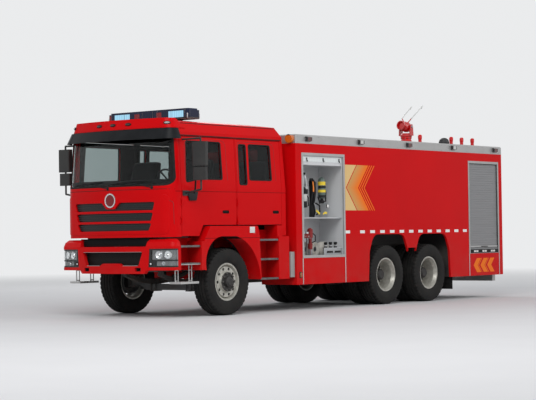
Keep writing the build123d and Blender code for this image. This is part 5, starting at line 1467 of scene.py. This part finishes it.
class TRUCK_OT_locker_gear(Fitting, bpy.types.Operator):
    """Hose, tools and breathing set in the open locker"""

    bl_idname = "truck.locker_gear"
    bl_label = "Locker gear"

    def make(self, colours, sizes):
        self.hoses()
        self.rescue_tools()
        self.couplings()
        self.locker_fittings()

    def hoses(self):
        """Three flat hoses, each wound from its middle."""
        shape = Shape()
        for y in (2165, 2445, 2725):
            centre = Vector((HOSE_X, y, LOCKER_FLOOR_Z + 130))
            rings = []
            for step, reach in enumerate(spread(*HOSE_REACH, HOSE_TURNS * 30)):
                angle = 2 * pi * step / 30
                out = Vector((0, cos(angle), sin(angle)))
                rings.append([centre + Vector((a, 0, 0)) + out * (reach + rise) for a, rise in HOSE_SECTION])
            shape.tone = 0
            shape.rings(rings)
            shape.tone = 1
            shape.lathe([(-46, 36), (-46, 42), (46, 42), (46, 36)], centre, (1, 0, 0), 24, loop=True)
        finishes = [canvas(), plain("hose_core", (0.30, 0.31, 0.32), 0.35, 0.8)]
        shape.place("wound_hoses", "chassis", finishes, "hose_canvas", 50, ["hose_rolls"])

    def rescue_tools(self):
        """A breathing set on its back plate and a hydraulic spreader, standing on the shelf."""
        shape = Shape()
        self.breathing_set(shape, 1046, 2850)
        self.spreader(shape, 1050, 2340)
        finishes = [
            black_plastic(),
            plain("cylinder_green", (0.10, 0.14, 0.12), 0.45, 0.1),
            plain("strap_yellow", (0.75, 0.55, 0.03), 0.6),
            plain("gauge_white", (0.75, 0.75, 0.73), 0.35),
            plain("strap_orange", (0.80, 0.22, 0.02), 0.6),
            plain("tool_white", (0.62, 0.62, 0.60), 0.4),
            plain("tool_steel", (0.42, 0.43, 0.44), 0.3, 0.9),
            plain("tool_board", (0.34, 0.35, 0.36), 0.5),
        ]
        shape.fit("rescue_gear")
        shape.place("rescue_tools", "chassis", finishes, "gear_finish", 40, ["rescue_gear"])

    def breathing_set(self, shape, x, y):
        """A back plate with its harness beside a cylinder with straps and a gauge."""
        floor = SHELF_Z
        up = (0, 0, 1)
        plate = list(BACK_PLATE) + [(-a, b) for a, b in reversed(BACK_PLATE)]
        shape.prism([(y - 190 + a, floor + b) for a, b in plate], "x", (950, 968), 5)
        for side in (-1, 1):
            pad = ((966, 28, 760), (1008, 34, 700), (1014, 36, 520), (974, 40, 300))
            shape.ribbon([(a, y - 190 + side * b, floor + c) for a, b, c in pad], 46, 18, (0, 1, 0))
            loop = ((966, 40, 300), (1030, 80, 250), (1040, 70, 120), (990, 30, 60))
            shape.tube([(a, y - 130 + side * b, floor + c) for a, b, c in loop], 15, 10)
        for z in (floor + 430, floor + 615):
            turns = spread(0, pi, 16)
            shape.ribbon([(x + 78 * sin(a) - 10, y - 82 * cos(a), z) for a in turns], 44, 6, up)
        shape.lathe([(290, 20), (300, 40), (340, 44), (356, 30), (392, 24)], (x, y, floor), up, 24)
        first = ((0, -30, 320), (40, -110, 290), (30, -150, 420))
        second = ((0, 0, 320), (30, 70, 330), (20, 96, 520), (0, 80, 600))
        for hose, radius in ((first, 14), (second, 13)):
            shape.tube([(x + a, y + b, floor + c) for a, b, c in hose], radius, 10)
        shape.tone = 1
        shape.lathe(CYLINDER, (x, y, floor), up, 32)
        shape.tone = 2
        for low, high in ((508, 560), (648, 720)):
            shape.lathe([(low, 70), (low, 72), (high, 72), (high, 70)], (x, y, floor), up, 32)
        for strap in (((-235, 150), (-190, 120), (-130, 84)), ((-30, 84), (20, 108), (80, 96))):
            shape.ribbon([(x + 50, y + a, floor + b) for a, b in strap], 40, 7, (0, 0.3, 1))
        shape.tone = 4
        strap = ((1020, -222, 720), (1034, -226, 600), (1032, -224, 520))
        shape.ribbon([(a, y + b, floor + c) for a, b, c in strap], 30, 8, (0, 1, 0))
        gauge = (x + 72, y + 62, floor + 238)
        shape.tone = 3
        shape.lathe([(0, 34), (14, 34), (18, 30), (16, 2)], gauge, (1, 0.2, 0), 24)
        shape.tone = 0
        shape.lathe([(-4, 38), (12, 38), (12, 35), (-4, 35)], gauge, (1, 0.2, 0), 24, loop=True)

    def spreader(self, shape, x, y):
        """A hydraulic spreader that hangs head up on a board."""
        floor = SHELF_Z
        foot, up = (x, y, floor), (0, 0, 1)
        shape.tone = 7
        shape.block((940, 950), (2190, 2500), (floor + 6, floor + 905), 3)
        shape.tone = 0
        for z in (floor + 250, floor + 560):
            shape.block((950, 1010), (y - 26, y + 26), (z, z + 36), 4)
        shape.lathe([(205, 34), (212, 44), (320, 46), (330, 40)], foot, up, 28)
        shape.lathe([(470, 48), (480, 62), (560, 66), (590, 56), (606, 38)], foot, up, 28)
        shape.tone = 5
        shape.lathe(SPREADER_GRIP, foot, up, 28)
        grip = ((10, -50, 560), (36, -96, 540), (30, -118, 590))
        shape.tube([(x + a, y + b, floor + c) for a, b, c in grip], 12, 12)
        shape.tone = 6
        for side in (-1, 1):
            shape.prism([(y + side * a, floor + b) for a, b in SPREADER_ARM], "x", (x - 16, x + 16), 4)
            for tooth in range(5):
                z = floor + 780 + tooth * 13
                shape.block((x - 12, x + 12), sorted((y + side * 1, y + side * 7)), (z, z + 7), 1)
        shape.lathe([(-24, 30), (-20, 34), (20, 34), (24, 30)], (x + 40, y, floor + 590), (1, 0, 0), 24)
        shape.tone = 0
        handle = ((0, 40, 230), (20, 82, 240), (20, 84, 400), (0, 42, 460))
        shape.tube([(x + a, y + b, floor + c) for a, b, c in handle], 11, 12)
        profile = [(-22, 6), (-16, 18), (-6, 24), (6, 24), (16, 18), (22, 6)]
        shape.lathe(profile, (x, y, floor + 872), up, 24)

    def couplings(self):
        """Hose couplings and nozzles on two racks of the lower shelf."""
        shape = Shape()
        floor, rack = LOCKER_FLOOR_Z, COUPLING_RACK_Z
        up = (0, 0, 1)
        shape.tone = 2
        shape.block((1080, 1200), (1848, 2160), (rack - 10, rack), 2)
        for y in (1848, 2150):
            shape.block((1090, 1110), (y, y + 10), (floor, rack - 10), 1)
        for i, y in enumerate((1905, 2005, 2105)):
            shape.tone = 0
            shape.lathe(COUPLING, (1140, y, rack), up, 24, loop=True)
            shape.tone = 1
            shape.lathe(COUPLING_COLLAR, (1140, y, rack), up, 24, loop=True)
            for turn in range(3):
                angle = 2 * pi * turn / 3 + i
                centre = (1140 + 42 * cos(angle), y + 42 * sin(angle), rack + 26)
                shape.disc(centre, (cos(angle), sin(angle), 0), 9, 8, 10)
        for y in (2600, 2740, 2880):
            centre = (1165, y, floor + 150)
            shape.tone = 3
            shape.lathe(VALVE, centre, up, 24)
            shape.tone = 1
            shape.lathe([(24, 25), (28, 27), (44, 27), (48, 22)], centre, up, 24)
        shape.tone = 0
        shape.lathe(BRANCH, (1128, 2210, floor + 130), up, 28)
        shape.tone = 3
        shape.tube([(1150, 2230, 1120), (1180, 2290, 1150), (1180, 2290, 1240), (1150, 2240, 1290)], 10, 10)
        shape.tone = 2
        shape.block((1100, 1156), (2182, 2238), (floor, floor + 132), 4)
        shape.block((1150, 1188), (2530, 3040), (floor + 138, floor + 150), 2)
        finishes = [
            plain("coupling_red", (0.22, 0.012, 0.012), 0.4, 0.3),
            plain("coupling_silver", (0.50, 0.51, 0.52), 0.35, 0.8),
            plain("rack_grey", (0.22, 0.22, 0.23), 0.5, 0.4),
            black_plastic(),
        ]
        shape.place("hose_couplings", "chassis", finishes, "bright_aluminium")

    def locker_fittings(self):
        """A light strip and hooks at the top, a slotted panel low down and edge trims outside."""
        floor = LOCKER_FLOOR_Z
        shape = Shape()
        shape.block((1209, 1216), (1885, 3015), (2488, 2572), 2)
        shape.tone = 1
        for y in (2025, 2490, 2945):
            shape.block((1214, 1224), (y - 16, y + 16), (2500, 2556), 2)
            shape.tube([(1219, y, 2506), (1232, y, 2486), (1240, y, 2492), (1240, y, 2512)], 5, 8)
        for y in (2575, 2800):
            shape.block((1200, 1204), (y, y + 185), (floor + 60, floor + 100), 1)
        shape.tone = 2
        shape.block((1186, 1202), (2520, 3040), (floor + 4, floor + 150), 3)
        shape.tone = 3
        for y, top in ((1836, 866), (3046, 866), (7096, 856), (8200, 856)):
            shape.block((1248, 1256), (y, y + 18), (434, top), 2)
        finishes = [strip_light(), black_plastic(), plain("panel_grey", (0.30, 0.31, 0.32), 0.5), aluminium()]
        shape.place("locker_fittings", "chassis", finishes, "bright_aluminium")


# side, front, rear and foot of each closed shutter on the sides
SHUTTERS = ((1, 7152, 8162, 972), (-1, 1892, 3008, 982), (-1, 7152, 8162, 972))
SHUTTER_TOP_Z = 2586
# front, rear and bottom of the two shutter frames of a side
SHUTTER_FRAMES = ((1835, 3064, 869), (7095, 8218, 859))
FRAME_TOP_Z = 2633
SCREW_ROWS_Z = (2806, 2902)
REAR_WALL_Y = 8345


class TRUCK_OT_body_trim(Fitting, bpy.types.Operator):
    """Shutter bars, screws, marker lamps and the blank plate of the body"""

    bl_idname = "truck.body_trim"
    bl_label = "Body trim"

    def make(self, colours, sizes):
        self.shutter_bars()
        self.screws()
        self.markers()
        self.plate()

    def shutter_bars(self):
        """A lift bar with its handle at the foot of each closed shutter, inside black seals."""
        shape = Shape()
        for turn, front, rear, bottom in SHUTTERS:
            shape.turn = turn
            shape.tone = 2
            for edge in (front - 9, rear - 3):
                shape.block((1236, 1250), (edge, edge + 12), (bottom, SHUTTER_TOP_Z), 1)
            shape.block((1236, 1250), (front - 9, rear + 9), (SHUTTER_TOP_Z - 12, SHUTTER_TOP_Z), 1)
            shape.tone = 0
            shape.block((1235, 1247), (front, rear), (bottom, bottom + 34), 3)
            shape.tone = 1
            middle = (front + rear) / 2
            grip = ((1246, -110), (1268, -100), (1268, 100), (1246, 110))
            shape.tube([(x, middle + y, bottom + 17) for x, y in grip], 7, 10)
        shape.turn = 1
        shape.tone = 0
        shape.block((-500, 500), (8330, 8342), (1008, 1042), 3)
        shape.tone = 1
        shape.tube([(-110, 8341, 1025), (-100, 8364, 1025), (100, 8364, 1025), (110, 8341, 1025)], 7, 10)
        shape.place("shutter_bars", "chassis", [aluminium(), black_plastic(), rubber()], "bright_aluminium")

    def screws(self):
        """Rows of screws along the roof band and round the shutter frames."""
        shape = Shape()
        for _ in shape.both_sides():
            for y in range(1740, 8253, 296):
                for z in SCREW_ROWS_Z:
                    shape.disc((1249.5, y, z), (1, 0, 0), 8, 3, 10)
            for front, rear, bottom in SHUTTER_FRAMES:
                for z in spread(bottom + 60, FRAME_TOP_Z - 60, 7):
                    for y in (front + 22, rear - 22):
                        shape.disc((1255.5, y, z), (1, 0, 0), 6, 2, 8)
        for x in range(-1160, 1161, 290):
            for z in SCREW_ROWS_Z:
                shape.disc((x, REAR_WALL_Y + 0.5, z), (0, 1, 0), 8, 3, 10)
        steel = plain("screw_steel", (0.30, 0.30, 0.30), 0.35, 0.8)
        shape.place("panel_screws", "chassis", [steel], "bright_aluminium")

    def markers(self):
        """Small amber lamps on the skirts, the marked strip under the shutters and the wing's reflectors."""
        shape = Shape()
        for _ in shape.both_sides():
            shape.tone = 0
            shape.block((1249, 1254), (1742, 1812), (540, 640), 2)
            shape.tone = 1
            shape.block((1253, 1262), (1750, 1804), (548, 632), 3)
            shape.tone = 2
            shape.block((1236.5, 1258), (7142, 8172), (866, 934), 1)
            shape.tone = 3
            for y in (7260, 7345, 7570, 7655, 7880, 7965):
                shape.block((1257, 1259), (y, y + 72), (882, 918), 0.4)
            shape.block((1214.5, 1217), (490, 620), (1300, 1400), 0.8)
        amber, white = lens("amber_lens", (0.75, 0.20, 0.015)), plain("white_film", (0.60, 0.60, 0.58), 0.4)
        shape.place("side_markers", "chassis", [black_plastic(), amber, rubber(), white], "lamp_glass")

    def plate(self):
        """A blank number plate in a frame and its two lamps on the rear wall."""
        wall = REAR_WALL_Y
        shape = Shape()
        shape.block((-300, 300), (wall, wall + 8), (560, 720), 4)
        for x in (-150, 150):
            shape.block((x - 30, x + 30), (wall, wall + 33), (732, 752), 5)
        shape.tone = 1
        shape.block((-286, 286), (wall + 7, wall + 11), (574, 706), 2)
        blank = plain("plate_blank", (0.62, 0.60, 0.50), 0.4)
        shape.place("number_plate", "chassis", [black_plastic(), blank], "bright_aluminium")


# X of both ends of a brake drum
FRONT_DRUM_X = (925, 1030)
REAR_DRUM_X = (640, 820)


def u_bolt(shape, across, y, low, bend, high):
    """A U-bolt over a leaf spring, with its legs down."""
    left, right = across
    legs = [(left, y, low), (left, y, bend), (left + 12, y, high)]
    shape.tube(legs + [(right - 12, y, high), (right, y, bend), (right, y, low)], 9, 10)


class TRUCK_OT_running_gear(Fitting, bpy.types.Operator):
    """Spring bolts, brake parts and air lines under the truck"""

    bl_idname = "truck.running_gear"
    bl_label = "Running gear"

    def make(self, colours, sizes):
        self.spring_bolts()
        self.drums()
        self.air_lines()

    def spring_bolts(self):
        """U-bolts that clamp the springs to the axles, and the clips of the leaves."""
        shape = Shape()
        for _ in shape.both_sides():
            for y in (-62, 62):
                u_bolt(shape, (334, 436), y, 382, 566, 584)
            shape.block((326, 444), (-84, 84), (372, 388), 3)
            for y in (-470, 470):
                shape.block((334, 436), (y - 16, y + 16), (528, 634), 3)
            for centre in (AXLES_Y["middle"], AXLES_Y["rear"]):
                for y in (centre - 58, centre + 58):
                    u_bolt(shape, (441, 539), y, 462, 668, 684)
                shape.block((436, 544), (centre - 78, centre + 78), (436, 450), 3)
        shape.place("spring_bolts", "chassis", [frame_black()], "frame_paint")

    def drums(self):
        """Brake drums inside the wheels."""
        for side, turn in SIDES:
            for axle, y in AXLES_Y.items():
                low, high = FRONT_DRUM_X if axle == "front" else REAR_DRUM_X
                profile = [(low, 190), (low, 205), (low + 14, 208), (low + 22, 203), (high - 10, 203)]
                profile += [(high, 196), (high, 120), (high - 8, 120), (high - 8, 188)]
                shape = Shape(turn)
                shape.lathe(profile, (0, y, WHEEL_Z), (1, 0, 0), 36, loop=True)
                body = f"wheel_{axle}_{side}"
                shape.place(f"brake_drum_{axle}_{side}", body, [cast_grey()], "wheel_steel")

    def air_lines(self):
        """Three lines along the inside of a chassis rail."""
        shape = Shape()
        for z, radius in ((940, 8), (915, 6), (890, 6)):
            line = [(-405, y, z + 3 * sin(y / 330)) for y in range(-1000, 8050, 150)]
            shape.tube(line, radius, 8)
        shape.place("air_lines", "chassis", [rubber()], "frame_paint")


class TRUCK_OT_monitor_trim(Fitting, bpy.types.Operator):
    """Flange bolts and hand grips of the roof monitor"""

    bl_idname = "truck.monitor_trim"
    bl_label = "Monitor trim"

    def make(self, colours, sizes):
        shape = Shape()
        for c, s in circle(8, 0.5):
            shape.lathe([(0, 7), (2, 8), (-10, 8)], (98 * c, MONITOR_Y + 98 * s, 3108), (0, 0, 1), 6)
        steel = plain("bolt_steel", (0.30, 0.30, 0.31), 0.35, 0.8)
        shape.place("riser_bolts", "chassis", [steel], "bright_aluminium")
        shape = Shape()
        for _ in shape.both_sides():
            shape.disc((133, MONITOR_Y, MONITOR_PIVOT_Z), (1, 0, 0), 26, 12, 24)
        steel = plain("cap_steel", (0.35, 0.35, 0.36), 0.3, 0.8)
        shape.place("pivot_caps", "monitor_swivel", [steel], "bright_aluminium")
        shape = Shape()
        for _ in shape.both_sides():
            start = Vector((128.5, MONITOR_Y + 350, MONITOR_PIVOT_Z + 375))
            shape.lathe([(0, 13), (60, 14), (68, 11)], start, (1.5, 48, 48), 16)
        grip = plain("grip_white", (0.62, 0.62, 0.60), 0.5)
        shape.place("tiller_grips", "monitor_barrel", [grip], "black_trim")


def cushion(shape, x, width, foot, head, depth, seams):
    """A crowned cushion on a line of the (y, z) plane from its foot to its head, sewn across at its seams."""
    foot, head = Vector(foot), Vector(head)
    middle, reach = (foot + head) / 2, (head - foot).length / 2
    along = (head - foot).normalized()
    out = Vector((-along.y, along.x))
    count = max(16, int(width / 30))
    rings = []
    for i in range(count + 1):
        share = -cos(pi * i / count)
        place = share * width / 2
        size = (1 - min(0.9999, abs(share)) ** 7) ** (1 / 7)
        dip = max((1 - abs(place - seam) / 26 for seam in seams if abs(place - seam) < 26), default=0)
        ring = []
        for a, b in circle(28):
            far = (abs(a) ** 0.42) * (1 if a > 0 else -1) * reach * (0.9 + 0.1 * size)
            near = (abs(b) ** 0.62) * (1 if b > 0 else -1) * depth / 2 * size * (1 - 0.14 * dip)
            point = middle + along * far + out * near
            ring.append((x + place, point.x, point.y))
        rings.append(ring)
    shape.rings(rings)


class TRUCK_OT_seats(Fitting, bpy.types.Operator):
    """Padded covers of the seats and the crew bench"""

    bl_idname = "truck.seats"
    bl_label = "Seats"

    def make(self, colours, sizes):
        for name, x, width, y, seams in (
            ("driver", 560, 536, -480, ()),
            ("passenger", -560, 536, -480, ()),
            ("crew", 0, 1896, 820, (-470, 0, 470)),
        ):
            for part, foot, head, depth in (
                ("seat", (y - 84, 1884), (y + 446, 1880), 158),
                ("back", (y + 386, 1880), (y + 508, 2484), 158),
            ):
                shape = Shape()
                cushion(shape, x, width, foot, head, depth, seams)
                pad = shape.place(f"{name}_{part}_pad", "cab", [seat_cloth()], "black_trim", 70)


# Stage

BACKDROP = (0.94, 0.95, 0.96)
BACKDROP_STRENGTH = 0.88
# place, size and power of each lamp
LAMPS = {
    "key": ((9.0, -14.0, 12.0), 9.0, 1500.0),
    "fill": ((16.0, 5.0, 9.0), 10.0, 700.0),
    "back": ((-12.0, 8.0, 11.0), 9.0, 600.0),
}
LAMP_TARGET = Vector((0, 0, 1.2))
# the camera's place in metres, its yaw, pitch and roll in degrees, its focal length in pixels
CAMERA_PLACE = (18.228, -23.9925, 1.2344)
CAMERA_TURNS = (38.393, 1.250, -0.822)
FOCAL_PIXELS = 1682.5
PHOTO_WIDTH = 536
SENSOR_WIDTH = 36.0


class TRUCK_OT_stage(Fitting, bpy.types.Operator):
    """Pale floor, soft lights and the camera"""

    bl_idname = "truck.stage"
    bl_label = "Stage"

    def make(self, colours, sizes):
        self.floor()
        self.world()
        self.lights()
        self.camera()
        bpy.context.scene.view_settings.view_transform = "Standard"

    def floor(self):
        """A wide pale floor that fades into the world behind it."""
        mesh = bmesh.new()
        bmesh.ops.create_grid(mesh, x_segments=4, y_segments=4, size=90)
        data = bpy.data.meshes.new("floor")
        mesh.to_mesh(data)
        mesh.free()
        pale = Finish("floor_pale", (0.66, 0.66, 0.67), 0.9, specular_ior_level=0.1)
        pale.set("Base Color", pale.mix(pale.noise(0.8, 3.0), (0.64, 0.64, 0.65), (0.68, 0.68, 0.69)))
        x, y, _ = pale.stations()
        far = ((x * x + y * y) ** 0.5).ramp(13.0, 34.0)
        glow = pale.add("Emission", inputs={"Color": BACKDROP, "Strength": BACKDROP_STRENGTH})
        skin = Signal(pale, pale.shader.outputs[0])
        mixed = pale.add("MixShader", inputs={0: far * pale.seen(), 1: skin, 2: glow})
        pale.links.new(mixed.link, pale.nodes["Material Output"].inputs["Surface"])
        data.materials.append(pale.material)
        floor = bpy.data.objects.new("floor", data)
        bpy.context.scene.collection.objects.link(floor)
        floor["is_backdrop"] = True

    def world(self):
        """A pale world that shines more softly than it looks."""
        world = bpy.data.worlds.new("pale_world")
        bpy.context.scene.world = world
        world.use_nodes = True
        tree = Tree(world.node_tree)
        light = tree.nodes["Background"]
        light.inputs["Color"].default_value = (0.93, 0.95, 0.98, 1)
        light.inputs["Strength"].default_value = 0.52
        seen = tree.add("Background", inputs={"Color": BACKDROP, "Strength": BACKDROP_STRENGTH})
        mixed = tree.add("MixShader", inputs={0: tree.seen(), 1: Signal(tree, light.outputs[0]), 2: seen})
        tree.links.new(mixed.link, tree.nodes["World Output"].inputs["Surface"])

    def lights(self):
        """A soft key, a long fill and a light from behind."""
        for name, (place, size, power) in LAMPS.items():
            lamp = bpy.data.lights.new(name, "AREA")
            lamp.size, lamp.energy = size, power
            light = bpy.data.objects.new(name, lamp)
            light.location = place
            light.rotation_euler = (LAMP_TARGET - Vector(place)).to_track_quat("-Z", "Y").to_euler()
            bpy.context.scene.collection.objects.link(light)

    def camera(self):
        """The camera at the photograph's place and angle."""
        yaw, pitch, roll = (radians(turn) for turn in CAMERA_TURNS)
        ahead = Vector((-sin(yaw) * cos(pitch), cos(yaw) * cos(pitch), sin(pitch)))
        level = Vector((cos(yaw), sin(yaw), 0))
        above = level.cross(ahead)
        right = cos(roll) * level + sin(roll) * above
        up = cos(roll) * above - sin(roll) * level
        data = bpy.data.cameras.new("photo_view")
        data.sensor_fit, data.sensor_width = "HORIZONTAL", SENSOR_WIDTH
        data.lens = SENSOR_WIDTH * FOCAL_PIXELS / PHOTO_WIDTH
        data.clip_end = 300
        view = bpy.data.objects.new("photo_view", data)
        turned = Matrix((right, up, -ahead)).transposed().to_4x4()
        view.matrix_world = Matrix.Translation(CAMERA_PLACE) @ turned
        bpy.context.scene.collection.objects.link(view)
        bpy.context.scene.camera = view


FITTINGS = (
    TRUCK_OT_stage,
    TRUCK_OT_finishes,
    TRUCK_OT_tyres,
    TRUCK_OT_wheel_nuts,
    TRUCK_OT_window_seals,
    TRUCK_OT_wipers,
    TRUCK_OT_cab_trim,
    TRUCK_OT_bumper_trim,
    TRUCK_OT_locker_gear,
    TRUCK_OT_body_trim,
    TRUCK_OT_running_gear,
    TRUCK_OT_monitor_trim,
    TRUCK_OT_seats,
)


class TRUCK_PT_panel(bpy.types.Panel):
    """Lists the truck's fittings"""

    bl_label = "Fire truck"
    bl_idname = "TRUCK_PT_panel"
    bl_space_type = "VIEW_3D"
    bl_region_type = "UI"
    bl_category = "Fire truck"

    def draw(self, context):
        for group in (context.scene.truck_colours, context.scene.truck_sizes):
            for name in group.__annotations__:
                self.layout.prop(group, name)
        for fitting in FITTINGS:
            self.layout.operator(fitting.bl_idname)


CLASSES = (TruckColours, TruckSizes, *FITTINGS, TRUCK_PT_panel)


def register():
    """Registers the truck's classes."""
    for kind in CLASSES:
        bpy.utils.register_class(kind)
    bpy.types.Scene.truck_colours = PointerProperty(type=TruckColours)
    bpy.types.Scene.truck_sizes = PointerProperty(type=TruckSizes)


def unregister():
    """Takes the truck's classes out again."""
    del bpy.types.Scene.truck_sizes
    del bpy.types.Scene.truck_colours
    for kind in reversed(CLASSES):
        bpy.utils.unregister_class(kind)


def main():
    """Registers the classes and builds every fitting."""
    register()
    for fitting in FITTINGS:
        getattr(bpy.ops.truck, fitting.bl_idname.split(".")[1])()
    boxes = {"cad": CAD_BOX, "visual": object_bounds()}
    plain_boxes = {name: [list(corner) for corner in box] for name, box in boxes.items()}


if __name__ == "__main__":
    main()
